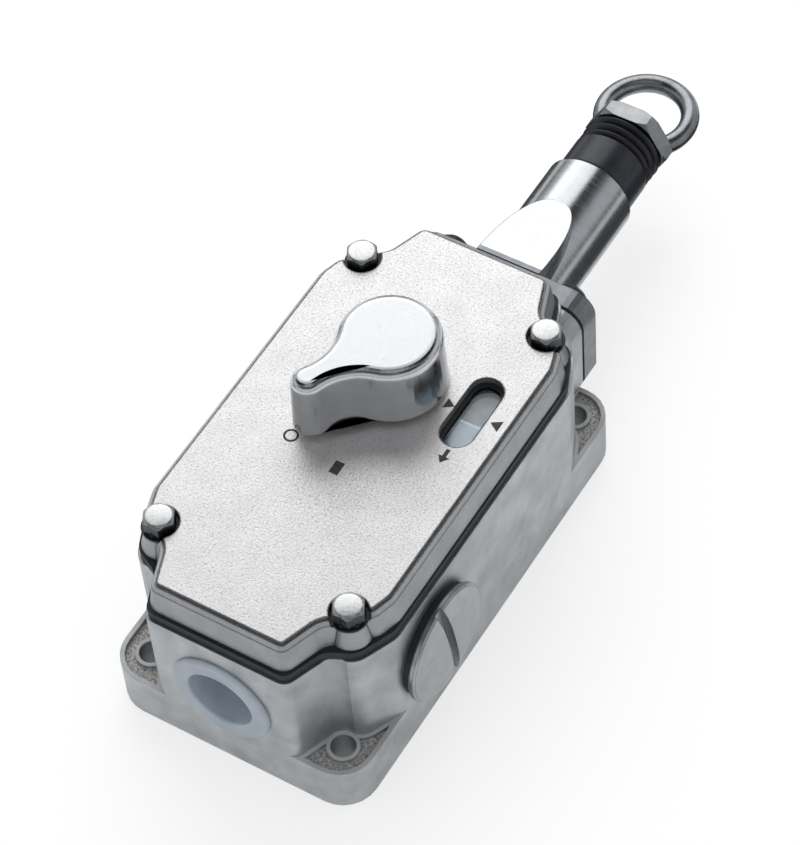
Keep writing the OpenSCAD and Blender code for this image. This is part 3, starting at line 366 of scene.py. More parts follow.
satin_tube = turned_finish("turned stainless, satin", "X", "#B5B8BA", "#C8CACB", 0.24, FLANGE_END)
turned_plug = turned_finish("turned stainless plug", "Y", "#A9ACAF", "#BCBFC1", 0.33)
turned_shaft = turned_finish("ground stainless shaft", "X", "#B9BBBD", "#D0D2D3", 0.2)
turned_knob_shaft = turned_finish("ground stainless knob shaft", "Z", "#B9BBBD", "#D0D2D3", 0.2)
print("four turned finishes, with marks", TOOL_MARK * 1000, "mm apart")

# %% [markdown]
# ## Polished and headed steel
#
# The knob and the eye are tumbled with small stones until they shine. What is left to see is
# a faint unevenness in the polish, a few millimetres across, and hairline scratches, so the
# roughness wanders a little and the colour hardly at all. Hands dull the knob's flat top. The
# lid screws are cold headed. Their crowns are painted bright, a painted highlight, and their
# flats are painted dark, painted shade and dark reflection, told apart by which way they face.

# %% Finish: polished steel
def polished_finish(name, dark, light, low, high, waviness=0.01 * MM, worn_top=0.0):
    """Polished steel, rougher by worn_top where it faces up and hands rub it."""
    material, tree, shader, place = new_finish(name, Metallic=1.0)
    clouds = blotches(tree, place, 4 * MM, 4.0)
    hairs = blotches(tree, place, 0.6 * MM, 4.0)
    tree.links.new(between(tree, clouds, dark, light), shader.inputs["Base Color"])
    both = add(tree, "ShaderNodeMath", {0: clouds, 1: hairs}, operation="MULTIPLY").outputs[0]
    limits = {"Value": both, "To Min": low, "To Max": high}
    rough = add(tree, "ShaderNodeMapRange", limits).outputs[0]
    duller = {0: facing_up(tree, 0.95, 0.99), 1: worn_top, 2: rough}
    rough = add(tree, "ShaderNodeMath", duller, operation="MULTIPLY_ADD").outputs[0]
    tree.links.new(rough, shader.inputs["Roughness"])
    raise_grain(tree, shader, hairs, waviness, edge=0.3 * MM)
    return material


def screw_finish():
    """Painted bright on the crown and painted dark on the flats: a painted highlight and painted shade."""
    material, tree, shader, place = new_finish("headed screw, dark flats", Metallic=1.0)
    clouds = blotches(tree, place, 0.7 * MM, 4.0)
    # Painted highlight and painted shade: the colour is bright where the head faces up and dark on its
    # upright flats.
    crown = facing_up(tree, 0.55, 0.9, "True Normal")
    dark = between(tree, clouds, "#3B3D40", "#5A5C5F")
    bright = between(tree, clouds, "#B9BBBC", "#E2E2E2")
    tree.links.new(between(tree, crown, dark, bright), shader.inputs["Base Color"])
    roughen(tree, shader, clouds, 0.28, 0.42)
    raise_grain(tree, shader, clouds, 0.01 * MM, edge=0.12 * MM)
    return material


polished_knob = polished_finish(
    "tumbled and polished stainless", "#CFD1D3", "#DCDDDE", 0.16, 0.28, 0.002 * MM, worn_top=0.2
)
polished_eye = polished_finish(
    "forged stainless eye, polished", "#86888B", "#A4A6A8", 0.26, 0.44, 0.006 * MM
)
headed_screw = screw_finish()
dull_clip = polished_finish("stamped stainless clip", "#9EA1A3", "#B4B6B8", 0.3, 0.45)
print("three polished finishes and one for screws")

# %% [markdown]
# ## Plated, blackened and painted small parts
#
# Inside the housing the sheet metal is zinc plated: blue-white and slightly crystalline, or
# yellow where it was passivated with chromate. Springs are oiled spring steel, the clamps
# are plated brass, and the flange screws are blackened, which is an oxide skin and no longer
# a metal to the eye.

# %% Finish: small metal parts
def plated_finish(name, dark, light, roughness, metallic, crystal=1.2 * MM):
    material, tree, shader, place = new_finish(name, Metallic=metallic)
    cells = add(tree, "ShaderNodeTexVoronoi", {"Vector": place, "Scale": 1 / crystal})
    shade = add(tree, "ShaderNodeSeparateColor", {0: cells.outputs["Color"]}).outputs[0]
    tree.links.new(between(tree, shade, dark, light), shader.inputs["Base Color"])
    roughen(tree, shader, shade, roughness - 0.07, roughness + 0.07)
    raise_grain(tree, shader, blotches(tree, place, 0.5 * MM), 0.006 * MM, edge=0.15 * MM)
    return material


zinc_plate = plated_finish("pressed steel, zinc plated", "#A9B1BC", "#C3CAD1", 0.36, 1.0)
yellow_plate = plated_finish("pressed steel, yellow passivated", "#B08A2E", "#D2B35C", 0.34, 1.0)
spring_steel = plated_finish("oiled spring steel", "#5C5E62", "#7C7E82", 0.3, 1.0, 0.7 * MM)
plated_brass = plated_finish("stamped brass, plated", "#BFA05A", "#D8C07C", 0.32, 1.0)
black_oxide = plated_finish("screw steel, black oxide", "#17181B", "#2B2D31", 0.36, 0.35, 0.8 * MM)
print("five small-part finishes")

# %% [markdown]
# ## Rubber and plastics
#
# Gaskets are moulded nitrile rubber, nearly black and matt, with a fine grain from the mould
# and a little dust in the clouds of its colour. The bush is turned from black acetal, which
# is harder and slightly glossy, with a cold, blue-black cast. The bellows is softer rubber
# with a satin skin. The contact block is glass-filled nylon, mottled by its fibres.

# %% Finish: rubber and plastics
def moulded_finish(name, dark, light, roughness, grain, depth):
    material, tree, shader, place = new_finish(name)
    clouds = blotches(tree, place, 5 * MM, 4.0)
    pores = blotches(tree, place, grain, 2.0)
    tree.links.new(between(tree, clouds, dark, light), shader.inputs["Base Color"])
    roughen(tree, shader, pores, roughness - 0.08, roughness + 0.08)
    raise_grain(tree, shader, pores, depth, edge=0.2 * MM)
    return material


gasket_rubber = moulded_finish(
    "moulded nitrile rubber", "#1A1C1F", "#26292D", 0.6, 0.4 * MM, 0.02 * MM
)
silicone = moulded_finish(
    "moulded silicone rubber, black", "#15161B", "#202228", 0.42, 0.5 * MM, 0.01 * MM
)
black_acetal = moulded_finish(
    "turned black acetal", "#1C1F27", "#292D37", 0.34, 0.4 * MM, 0.005 * MM
)
ivory_nylon = moulded_finish(
    "glass filled nylon, ivory", "#DDD6BF", "#E9E3D0", 0.5, 0.5 * MM, 0.012 * MM
)
red_nylon = moulded_finish("moulded nylon, red", "#8E1A14", "#A8261D", 0.4, 0.4 * MM, 0.008 * MM)
print("five rubber and plastic finishes")

# %% [markdown]
# ## The transit cap
#
# A thin cap of natural polythene closes the cable entry until the switch is wired. Polythene
# is waxy and lets light sink a few millimetres in, so edges glow and shadows inside the cup
# stay soft. That is subsurface scattering, with a radius of the wall's own thickness.

# %% Finish: polythene cap
CAP_WALL = 1.2 * MM


def cap_finish():
    values = {"Subsurface_Weight": 0.7, "Subsurface_Scale": 1.0, "Transmission_Weight": 0.12}
    material, tree, shader, place = new_finish("natural polythene", IOR=1.51, **values)
    shader.inputs["Subsurface Radius"].default_value = (CAP_WALL, CAP_WALL * 1.2, CAP_WALL * 1.5)
    clouds = blotches(tree, place, 6 * MM, 3.0)
    tree.links.new(between(tree, clouds, "#B2BECA", "#C9D3DD"), shader.inputs["Base Color"])
    roughen(tree, shader, clouds, 0.3, 0.42)
    raise_grain(tree, shader, blotches(tree, place, 1.5 * MM), 0.01 * MM, edge=0.3 * MM)
    return material


polythene = cap_finish()
print(polythene.name)

# %% [markdown]
# ## The window and the flag under it
#
# The window is clear polycarbonate. A solid pane of glass in Blender stops the lamps, since
# light through it would have to be found by chance, and the flag below would be black. So
# for shadow rays and diffuse rays the pane is simply transparent. A little roughness keeps its
# reflection from being a perfect mirror.
#
# The flag is enamelled sheet: pale on the side that shows when the rope is slack, dark on
# the other, with a white line between them that stands under the two pointers when the rope
# is tight. The line sits at the window's middle, which is where the lens is.

# %% Finish: window and flag
LINE_WIDTH = 0.7 * MM
window_low, window_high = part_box("window_lens")
window_middle = (window_low + window_high) / 2


def window_finish():
    values = {"Base_Color": colour("#E9F1F6"), "Roughness": 0.06, "Transmission_Weight": 1.0}
    material, tree, shader, place = new_finish("clear polycarbonate", IOR=1.58, **values)
    rays = add(tree, "ShaderNodeLightPath")
    lit = {0: rays.outputs["Is Shadow Ray"], 1: rays.outputs["Is Diffuse Ray"]}
    lit = add(tree, "ShaderNodeMath", lit).outputs[0]
    clear = add(tree, "ShaderNodeBsdfTransparent", {"Color": colour("#EEF4F8")}).outputs[0]
    pane = add(tree, "ShaderNodeMixShader", {0: lit, 1: shader.outputs[0], 2: clear}).outputs[0]
    tree.links.new(pane, tree.nodes["Material Output"].inputs["Surface"])
    raise_grain(tree, shader, blotches(tree, place, 3 * MM), 0.004 * MM)
    return material


def flag_finish():
    material, tree, shader, place = new_finish("enamelled sheet steel", IOR=1.5, Coat_Weight=0.3)
    along = add(tree, "ShaderNodeSeparateXYZ", {0: place}).outputs[0]
    from_line = {0: along, 1: window_middle.x}
    from_line = add(tree, "ShaderNodeMath", from_line, operation="SUBTRACT").outputs[0]
    tight = add(tree, "ShaderNodeMath", {0: from_line, 1: 0.0}, operation="GREATER_THAN").outputs[0]
    off_line = add(tree, "ShaderNodeMath", {0: from_line}, operation="ABSOLUTE").outputs[0]
    line = {0: off_line, 1: LINE_WIDTH / 2}
    line = add(tree, "ShaderNodeMath", line, operation="LESS_THAN").outputs[0]
    clouds = blotches(tree, place, 5 * MM, 3.0)
    pale = between(tree, clouds, "#A9B4BC", "#C6CED4")
    dark = between(tree, clouds, "#39414B", "#4E5762")
    halves = between(tree, tight, pale, dark)
    tree.links.new(between(tree, line, halves, "#F2F4F6"), shader.inputs["Base Color"])
    roughen(tree, shader, clouds, 0.24, 0.36)
    raise_grain(tree, shader, clouds, 0.01 * MM)
    return material


clear_window = window_finish()
enamel_flag = flag_finish()
print("the flag's line stands at x =", round(window_middle.x * 1000, 1), "mm")

# %% [markdown]
# ## Laser marking
#
# The signs on the lid are burnt in with a laser, which leaves a matt brown-black oxide film
# on the steel. It is thin and a little patchy.

# %% Finish: laser mark
def laser_finish():
    material, tree, shader, place = new_finish("laser oxide film", Metallic=0.3)
    patches = blotches(tree, place, 0.6 * MM, 3.0)
    tree.links.new(between(tree, patches, "#3A3330", "#584F4B"), shader.inputs["Base Color"])
    roughen(tree, shader, patches, 0.5, 0.65)
    return material


laser_mark = laser_finish()
print(laser_mark.name)

# %% [markdown]
# ## Dressing the CAD pieces
#
# Every CAD piece keeps its shape and gets a finish, by the material slots of its object. The
# list is by finish, so that it reads like a parts list: what is cast, turned, plated or
# moulded on the real switch.

# %% Which piece has which finish
FINISHES = [
    (cast_stainless, ["housing"]),
    (lid_stainless, ["lid"]),
    (satin_tube, ["tube_housing"]),
    (turned_plug, ["plug_right", "plug_left"]),
    (turned_shaft, ["rope_shaft"]),
    (turned_knob_shaft, ["knob_shaft"]),
    (polished_knob, ["reset_knob"]),
    (polished_eye, ["rope_eye", "eye_lock_nut"]),
    (headed_screw, ["lid_screws"]),
    (black_oxide, ["lid_screw_washers"]),
    (dull_clip, ["knob_circlip", "cup_circlip", "sleeve_pin"]),
    (black_oxide, ["tube_screws", "knob_grub_screw"]),
    (gasket_rubber, ["lid_gasket", "tube_gasket", "window_seal", "knob_seal", "shaft_wiper"]),
    (gasket_rubber, ["plug_seal_right", "plug_seal_left"]),
    (black_acetal, ["front_bush"]),
    (clear_window, ["window_lens"]),
    (enamel_flag, ["indicator_flag"]),
    (zinc_plate, ["window_retainer", "reset_cam", "cone_sleeve", "spring_cup", "spring_washer"]),
    (zinc_plate, ["chassis", "chassis_screws", "block_screws", "terminal_screws", "earth_screw"]),
    (yellow_plate, ["latch_slide"]),
    (plated_brass, ["terminal_clamps", "earth_clamp"]),
    (ivory_nylon, ["contact_block"]),
    (red_nylon, ["contact_plungers"]),
    (polythene, ["transit_cap"]),
]
for finish, names in FINISHES:
    for name in names:
        for place in nodes[name].material_slots:
            place.material = finish
dressed = {name for finish, names in FINISHES for name in names}
print("dressed", len(dressed), "pieces; still to make:", sorted(set(nodes) - dressed))

# %% [markdown]
# ## A mesh from rings of points
#
# The bellows, the spring and the screws are all a row of rings joined by strips of four-sided
# faces: one ring is an outline, and the next is the same outline a little further on. A few
# lines of bmesh make such a skin just where it is wanted, with no object moved or scaled later.

# %% Helpers: a strip, an object, and a skin over rings
def strip(work, first, second, closed=True):
    """Faces between two rows of points, and also from the last points to the first if closed."""
    faces = []
    for here in range(len(first) if closed else len(first) - 1):
        after = (here + 1) % len(first)
        faces.append(work.faces.new((first[here], first[after], second[after], second[here])))
    return faces


def object_from(work, name, *finishes):
    """An object with the shape in work, which it frees, and those materials."""
    mesh = bpy.data.meshes.new(name)
    for finish in finishes:
        mesh.materials.append(finish)
    work.to_mesh(mesh)
    work.free()
    piece = bpy.data.objects.new(name, mesh)
    bpy.context.scene.collection.objects.link(piece)
    return piece


def skin(name, rings, finish, looped=False):
    """An object whose faces join each closed ring of points to the next, with capped ends."""
    work = bmesh.new()
    rows = [[work.verts.new(point) for point in ring] for ring in rings]
    for first, second in zip(rows, rows[1:] + (rows[:1] if looped else [])):
        strip(work, first, second)
    if not looped:
        work.faces.new(rows[0])
        work.faces.new(rows[-1])
    bmesh.ops.recalc_face_normals(work, faces=work.faces)
    for face in work.faces:
        face.smooth = len(face.verts) == 4
    return object_from(work, name, finish)


shaft_low, shaft_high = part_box("rope_shaft")
axis_height = (shaft_low.z + shaft_high.z) / 2
print("the rope axis runs", round(axis_height * 1000, 1), "mm above the base")

# %% [markdown]
# ## The bellows
#
# A short rubber bellows keeps water off the shaft where it leaves the bush. It is glued to
# the still bush at one end and clamped behind the eye's collar at the other, so it stretches
# each time the rope pulls. The CAD solid can only grow as a block. This one is a moulded
# skin with rounded folds and tight valleys.
#
# A fold's outline is a raised cosine, pinched so that the top of a fold is broad and the
# valley is narrow, which is how a moulded fold looks. Folds grow a little towards the eye.

# %% The bellows
FOLDS = 3
STEPS_A_FOLD = 14
BELLOWS_SIDES = 120
BELLOWS_WALL = 0.9 * MM
FOLD_DEPTH = 1.55 * MM
FIRST_FOLD = 0.82
PINCH = 0.6
bellows_low, bellows_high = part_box("bellows")
fold_radius = (bellows_high.y - bellows_low.y) / 2 - 0.02 * MM
valley_radius = fold_radius - FOLD_DEPTH


def bellows_radius(share):
    """The skin's outer radius at a share of its length."""
    wave = 0.5 - 0.5 * math.cos(2 * math.pi * FOLDS * share)
    swell = FIRST_FOLD + (1 - FIRST_FOLD) * share
    return valley_radius + (fold_radius - valley_radius) * swell * wave**PINCH


def bellows_skin():
    count = FOLDS * STEPS_A_FOLD
    shares = [step / count for step in range(count + 1)]
    length = bellows_high.x - bellows_low.x
    outline = [(bellows_low.x + length * s, bellows_radius(s)) for s in shares]
    outline += [(bellows_low.x + length * s, valley_radius - BELLOWS_WALL) for s in (1.0, 0.5, 0.0)]
    rings = []
    for step in range(BELLOWS_SIDES):
        turn = 2 * math.pi * step / BELLOWS_SIDES
        sine, cosine = math.sin(turn), math.cos(turn)
        rings.append([(x, radius * cosine, axis_height + radius * sine) for x, radius in outline])
    return skin("bellows_skin", rings, silicone, looped=True)


bellows = bellows_skin()
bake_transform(bellows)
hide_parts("bellows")
print("bellows:", FOLDS, "folds", round(fold_radius * 1000, 2), "mm in radius")

# %% [markdown]
# ## The main spring
#
# The main spring holds the rope tight. It is coiled from round wire on a mandrel, and its end
# coils are closed, so that it stands square in its cup: there the wire advances by only its
# own thickness a turn, and in between by the free pitch. The path is one line of points, and
# a small circle is carried along it, turned to stay square to the wire.
#
# The cup end moves with the shaft and the washer end stays.

# %% The main spring
TURNS = 7
STEPS_A_TURN = 40
WIRE_SIDES = 14
WIRE_RADIUS = 1.1 * MM
spring_low, spring_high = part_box("main_spring")
coil_radius = (spring_high.y - spring_low.y) / 2 - WIRE_RADIUS
closed_pitch = 2 * WIRE_RADIUS + 0.06 * MM
free_pitch = (spring_high.x - spring_low.x - 2 * WIRE_RADIUS - 2 * closed_pitch) / (TURNS - 2)


def spring_point(turn):
    """The middle of the wire after that many turns."""
    closed = min(turn, 1.0) + max(turn - (TURNS - 1), 0.0)
    along = spring_low.x + WIRE_RADIUS + closed * closed_pitch + (turn - closed) * free_pitch
    angle = 2 * math.pi * turn
    across, up = coil_radius * math.cos(angle), coil_radius * math.sin(angle)
    return Vector((along, across, axis_height + up))


def spring_wire():
    circle = [2 * math.pi * side / WIRE_SIDES for side in range(WIRE_SIDES)]
    rings = []
    for step in range(TURNS * STEPS_A_TURN + 1):
        turn = step / STEPS_A_TURN
        middle = spring_point(turn)
        ahead = (spring_point(turn + 0.01) - middle).normalized()
        outward = (middle - Vector((middle.x, 0, axis_height))).normalized()
        across = ahead.cross(outward).normalized()
        spokes = [math.cos(angle) * outward + math.sin(angle) * across for angle in circle]
        rings.append([middle + WIRE_RADIUS * spoke for spoke in spokes])
    return skin("main_spring_wire", rings, spring_steel)


spring = spring_wire()
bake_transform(spring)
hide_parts("main_spring")
print("spring:", TURNS, "turns, free pitch", round(free_pitch * 1000, 2), "mm")

# %% [markdown]
# ## The lid screws
#
# Four hexagon screws hold the lid. A real head is pressed to a hexagon and then turned on
# top, so the flats end in shallow arcs where the turned edge meets them, and the crown is a
# low dome that catches the light. Each ring of points here follows the hexagon or the turned
# outline, whichever lies further in, and the arcs come by themselves.

# %% The lid screws
SCREW_FLATS = 6.5 * MM
CORNER_RADIUS = 3.7 * MM
CROWN_RADIUS = 2.7 * MM
CROWN_RISE = 0.14 * MM
CHAMFER_DROP = 0.75 * MM
CHAMFER_CURVE = 1.6
CHAMFER_STEPS = 8
SHANK_RADIUS = 1.9 * MM
WASHER_RADIUS = 3.5 * MM / math.cos(math.radians(30))
SCREW_POINTS = 72
SHARP_ANGLE = 24


def screw_outline(bottom, seat, top):
    """Radius and height up the outline that a lathe leaves, from shank to crown."""
    outline = [(0.3 * SHANK_RADIUS, bottom), (SHANK_RADIUS, bottom + 0.5 * MM)]
    outline += [(SHANK_RADIUS, seat), (CORNER_RADIUS - 0.3 * MM, seat)]
    outline += [(CORNER_RADIUS, seat + 0.2 * MM)]
    rim = top - CROWN_RISE
    for step in range(CHAMFER_STEPS + 1):
        share = step / CHAMFER_STEPS
        radius = CORNER_RADIUS + (CROWN_RADIUS - CORNER_RADIUS) * share
        outline.append((radius, rim - CHAMFER_DROP * (1 - share) ** CHAMFER_CURVE))
    for share in (0.85, 0.65, 0.4, 0.1):
        outline.append((CROWN_RADIUS * share, rim + CROWN_RISE * (1 - share * share)))
    return outline


def screw_rings(centre, outline, seat):
    """Rings round the centre that follow the outline, cut back to the hexagon above the seat."""
    rings = []
    for radius, height in outline:
        ring = []
        for step in range(SCREW_POINTS):
            angle = math.tau * step / SCREW_POINTS
            off_flat = (angle + math.radians(30)) % math.radians(60) - math.radians(30)
            flat = SCREW_FLATS / 2 / math.cos(off_flat)
            reach = min(radius, flat) if height > seat else radius
            x, y = reach * math.cos(angle), reach * math.sin(angle)
            ring.append((centre[0] + x, centre[1] + y, height))
        rings.append(ring)
    return rings


def lid_screws():
    low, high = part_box("lid_screws")
    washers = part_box("lid_screw_washers")[1]
    seat = washers.z + 0.01 * MM
    outline = screw_outline(low.z, seat, high.z)
    names = []
    for side_x, side_y, name in ((-1, -1, "fr"), (-1, 1, "fl"), (1, -1, "rr"), (1, 1, "rl")):
        centre = (side_x * (washers.x - WASHER_RADIUS), side_y * (washers.y - WASHER_RADIUS))
        screw = skin("lid_screw_" + name, screw_rings(centre, outline, seat), headed_screw)
        screw.data.set_sharp_from_angle(angle=math.radians(SHARP_ANGLE))
        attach(screw, "body")
        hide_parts("lid_screws")
        names.append(screw.name)
    return names


print("lid screws:", ", ".join(lid_screws()))

# %% [markdown]
# ## The marks on the lid
#
# A plain bar shows where the knob points when the switch may run, and a ring where it points
# when it is off. Two triangles stand across the window and show where the flag's line
# belongs, and a small arrow shows which way it moves. They are laser marks with no
# thickness to speak of. As flat plates 0.03 mm high they can have a finish of their own, and
# still lie as flat as a mark should.
#
# The lid's flat top is found on the CAD mesh itself, as its largest face that looks up.

# %% The marks on the lid
MARK_HEIGHT = 0.03 * MM
RING_PLACE = (-8.3, 10.8)
RING_LINE = (1.2, 1.68)
RUN_BAR = [(-9.2, -0.95), (-9.2, -3.05), (-12.5, -3.05), (-12.5, -0.95)]
INNER_POINTER = [(14.5, -15.35), (13.1, -13.2), (15.9, -13.2)]
OUTER_POINTER = [(14.5, -24.0), (13.0, -26.4), (16.0, -26.4)]
ARROW = [(0.5, -20.0), (2.3, -18.7), (2.3, -19.55), (4.3, -19.55)]
ARROW += [(4.3, -20.45), (2.3, -20.45), (2.3, -21.3)]

top_faces = [face for face in nodes["lid"].data.polygons if face.normal.z > 0.99]
lid_top = max(top_faces, key=lambda face: face.area).center.z


def around(place, radius, count=40):
    angles = [2 * math.pi * step / count for step in range(count)]
    return [(place[0] + radius * math.cos(a), place[1] + radius * math.sin(a)) for a in angles]


def plate(work, outline, hole=None):
    """Adds a thin plate with that outline in mm, or the band between the outline and a hole."""
    loops = [
        [work.verts.new((x * MM, y * MM, level)) for x, y in edge]
        for edge in ([outline, hole] if hole else [outline])
        for level in (lid_top - MARK_HEIGHT, lid_top + MARK_HEIGHT)
    ]
    if hole:
        outer_low, outer_high, inner_low, inner_high = loops
        loops = [outer_low, outer_high, inner_high, inner_low, outer_low]
    else:
        work.faces.new(loops[0])
        work.faces.new(loops[1])
    for first, second in zip(loops, loops[1:]):
        strip(work, first, second)


def lid_marks():
    work = bmesh.new()
    for outline in (RUN_BAR, INNER_POINTER, OUTER_POINTER, ARROW):
        plate(work, outline)
    plate(work, around(RING_PLACE, RING_LINE[1]), around(RING_PLACE, RING_LINE[0]))
    bmesh.ops.recalc_face_normals(work, faces=work.faces)
    return object_from(work, "lid_marks", laser_mark)


marks = lid_marks()
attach(marks, "body")
print("five marks at a height of", round(lid_top * 1000, 2), "mm")

# %% [markdown]
# ## The floor and the surrounding light
#
# The switch stands on a white table in a white room. Steel has hardly any look of its own
# and shows whatever is around it, so what matters is what it sees. The room gives soft, dim
# light from all sides. To the camera, and to reflections, it is plain white.
#
# The floor does two things at once. Part of it glows white to the camera, so that the picture
# runs to white with no horizon, and the rest is an ordinary white surface, which keeps the
# shadow under the switch.

# %% The floor and the room
ROOM_LIGHT = 0.6
FLOOR_GLOW = {"camera": 0.5, "reflection": 0.25}
GLOW_STRENGTH = 1.28
FLOOR_SIZE = 6.0
WHITE = colour("#FFFFFF")


def seen_directly(tree):
    """Two sockets: is this ray from the camera, and is it a reflection or through the window?"""
    rays = add(tree, "ShaderNodeLightPath")
    mirrored = {0: rays.outputs["Is Glossy Ray"], 1: rays.outputs["Is Transmission Ray"]}
    mirrored = add(tree, "ShaderNodeMath", mirrored, operation="MAXIMUM").outputs[0]
    return rays.outputs["Is Camera Ray"], mirrored


def light_room():
    world = bpy.data.worlds.new("white room")
    bpy.context.scene.world = world
    world.use_nodes = True
    tree = world.node_tree
    tree.nodes.clear()
    camera_ray, mirrored = seen_directly(tree)
    seen = add(tree, "ShaderNodeMath", {0: camera_ray, 1: mirrored}, operation="MAXIMUM").outputs[0]
    light, white = (
        add(tree, "ShaderNodeBackground", {"Color": WHITE, "Strength": strength}).outputs[0]
        for strength in (ROOM_LIGHT, 1.0)
    )
    both = add(tree, "ShaderNodeMixShader", {0: seen, 1: light, 2: white}).outputs[0]
    add(tree, "ShaderNodeOutputWorld", {"Surface": both})


def lay_floor():
    work = bmesh.new()
    half = FLOOR_SIZE / 2
    corners = ((-half, -half), (half, -half), (half, half), (-half, half))
    work.faces.new([work.verts.new((x, y, 0)) for x, y in corners])
    material, tree = blank_material("white table")
    camera_ray, mirrored = seen_directly(tree)
    paint = add(tree, "ShaderNodeBsdfDiffuse", {"Color": colour("#FCFCFC")}).outputs[0]
    glow = {"Color": WHITE, "Strength": GLOW_STRENGTH}
    glow = add(tree, "ShaderNodeEmission", glow).outputs[0]
    share = {0: camera_ray, 1: FLOOR_GLOW["camera"]}
    share = add(tree, "ShaderNodeMath", share, operation="MULTIPLY").outputs[0]
    share = {0: mirrored, 1: FLOOR_GLOW["reflection"], 2: share}
    share = add(tree, "ShaderNodeMath", share, operation="MULTIPLY_ADD").outputs[0]
    both = add(tree, "ShaderNodeMixShader", {0: share, 1: paint, 2: glow}).outputs[0]
    add(tree, "ShaderNodeOutputMaterial", {"Surface": both})
    floor = object_from(work, "floor", material)
    floor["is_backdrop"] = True


light_room()
lay_floor()
print("a floor", FLOOR_SIZE, "m across")

# %% [markdown]
# ## Softbox and cloths
#
# One large softbox hangs behind the switch, where the lid mirrors it to the camera, so every
# surface that looks up turns bright, and the shadows fall towards the camera. It is wide and
# close, so shadows are soft.
#
# White all round would make the polished knob and the tube look like paper. Photographers
# hang cloths round polished metal, because each reflection of a dark cloth draws an edge:
# black overhead gives the dark band down the tube and the dark rim of the knob, a pale
# strip below it gives the bright line on the knob's shoulder, and a grey one at the bottom
# settles the far sides. The cloths form a tent here. Only reflections can see it, so it
# takes no light away and casts no shadow. Under its dark top hangs one pale cloth more, on the
# camera's side, so that rounded edges which lean that way are not lost in black.
#
# A small dark sheet lies on each side of the tube, again for reflections alone. Without them
# the tube's lower sides would mirror bare white table and lose their roundness.

# %% The softbox and the cloths
SOFTBOX_BEARING = (35, 44)
SOFTBOX_DISTANCE = 0.9
SOFTBOX_SIZE = (0.8, 0.72)
SOFTBOX_WATTS = 3.2
TENT_RADIUS = 1.5
TENT_COLUMNS, TENT_STEPS = 64, 6
TENT_CLOTHS = [(0, 9, "#70757A"), (9, 38, "#C9CBCE"), (38, 45, "#6A6C70"), (45, 90, "#17181A")]
OVERHEAD_TURNS, OVERHEAD_RISES = (150, 290), (56, 86)
OVERHEAD_RADIUS = 0.95 * TENT_RADIUS
OVERHEAD_COLUMNS, OVERHEAD_STEPS = 12, 2
SHEET_HEIGHT = 0.5 * MM
SHEETS = [
    [(86, side * 18), (215, side * 18), (215, side * 120), (86, side * 120)] for side in (-1, 1)
]
AIM = Vector((0.02, 0, 0.03))


def bearing(turn, rise):
    """The direction at that many degrees round from X and up from the table."""
    turn, rise = math.radians(turn), math.radians(rise)
    flat = math.cos(rise)
    return Vector((flat * math.cos(turn), flat * math.sin(turn), math.sin(rise)))


def hang_softbox():
    lamp = bpy.data.lights.new("softbox", "AREA")
    lamp.shape = "RECTANGLE"
    lamp.size, lamp.size_y = SOFTBOX_SIZE
    lamp.energy = SOFTBOX_WATTS
    holder = bpy.data.objects.new("softbox", lamp)
    bpy.context.scene.collection.objects.link(holder)
    holder.location = AIM + bearing(*SOFTBOX_BEARING) * SOFTBOX_DISTANCE
    holder.rotation_euler = bearing(*SOFTBOX_BEARING).to_track_quat("Z", "Y").to_euler()
    return lamp


def cloth(code):
    """A cloth that looks that bright once it is lit."""
    material, tree = blank_material("cloth " + code[1:])
    lit = add(tree, "ShaderNodeEmission", {"Color": colour(code), "Strength": 1.0}).outputs[0]
    add(tree, "ShaderNodeOutputMaterial", {"Surface": lit})
    return material


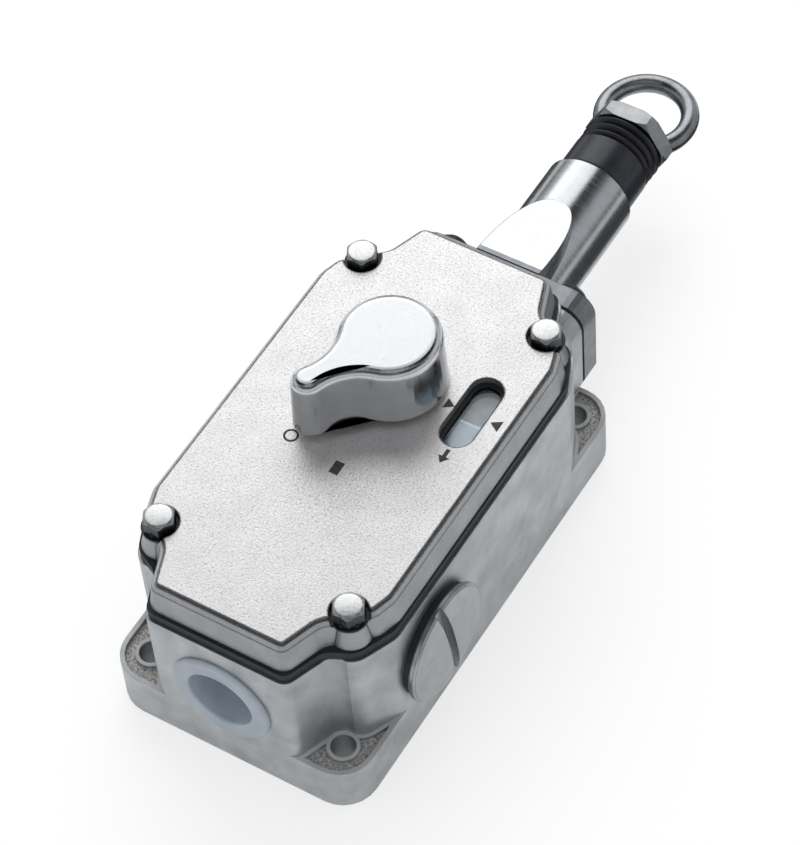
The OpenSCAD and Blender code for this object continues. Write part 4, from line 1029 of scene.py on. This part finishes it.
def for_reflections_only(piece):
    piece.visible_camera = False
    piece.visible_diffuse = False
    piece.visible_shadow = False
    piece.visible_transmission = False
    piece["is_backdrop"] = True


def dome_rows(work, radius, turns, rises):
    """Rows of points on a dome: one for each rise, with a point at each turn."""
    return [[work.verts.new(radius * bearing(turn, rise)) for turn in turns] for rise in rises]


def stretch(start, end, steps):
    """The numbers from start to end in that many equal steps."""
    return [start + (end - start) * step / steps for step in range(steps + 1)]


def pitch_tent():
    work = bmesh.new()
    turns = stretch(0, 360, TENT_COLUMNS)[:-1]
    for band, (low, high, _) in enumerate(TENT_CLOTHS):
        rows = dome_rows(work, TENT_RADIUS, turns, stretch(low, high, TENT_STEPS))
        for lower, upper in zip(rows, rows[1:]):
            for face in strip(work, lower, upper):
                face.material_index = band
    bmesh.ops.remove_doubles(work, verts=work.verts, dist=0.0001)
    cloths = [cloth(code) for _, _, code in TENT_CLOTHS]
    for_reflections_only(object_from(work, "tent", *cloths))


def hang_overhead():
    """A pale cloth under the dark top of the tent, for edges that face the camera."""
    work = bmesh.new()
    turns = stretch(*OVERHEAD_TURNS, OVERHEAD_COLUMNS)
    rows = dome_rows(work, OVERHEAD_RADIUS, turns, stretch(*OVERHEAD_RISES, OVERHEAD_STEPS))
    for lower, upper in zip(rows, rows[1:]):
        strip(work, lower, upper, closed=False)
    for_reflections_only(object_from(work, "overhead_cloth", cloth("#A9ABAE")))


def lay_sheets():
    work = bmesh.new()
    for corners in SHEETS:
        work.faces.new([work.verts.new((x * MM, y * MM, SHEET_HEIGHT)) for x, y in corners])
    for_reflections_only(object_from(work, "dark_sheets", cloth("#4A4D50")))


softbox = hang_softbox()
pitch_tent()
hang_overhead()
lay_sheets()
print("softbox", SOFTBOX_SIZE, "m at", softbox.energy, "W, tent of", len(TENT_CLOTHS), "cloths")

# %% [markdown]
# ## Look and size
#
# The picture is shown with the plain Standard view, in which a colour comes out as it was
# written.

# %% Finish
bpy.context.scene.view_settings.view_transform = "Standard"
bpy.context.view_layer.update()
sizes = {"cad": [list(corner) for corner in cad_box], "visual": [list(corner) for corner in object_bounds()]}
for label, (low, high) in sizes.items():
    print(label, [round((b - a) * 1000, 2) for a, b in zip(low, high)], "mm")
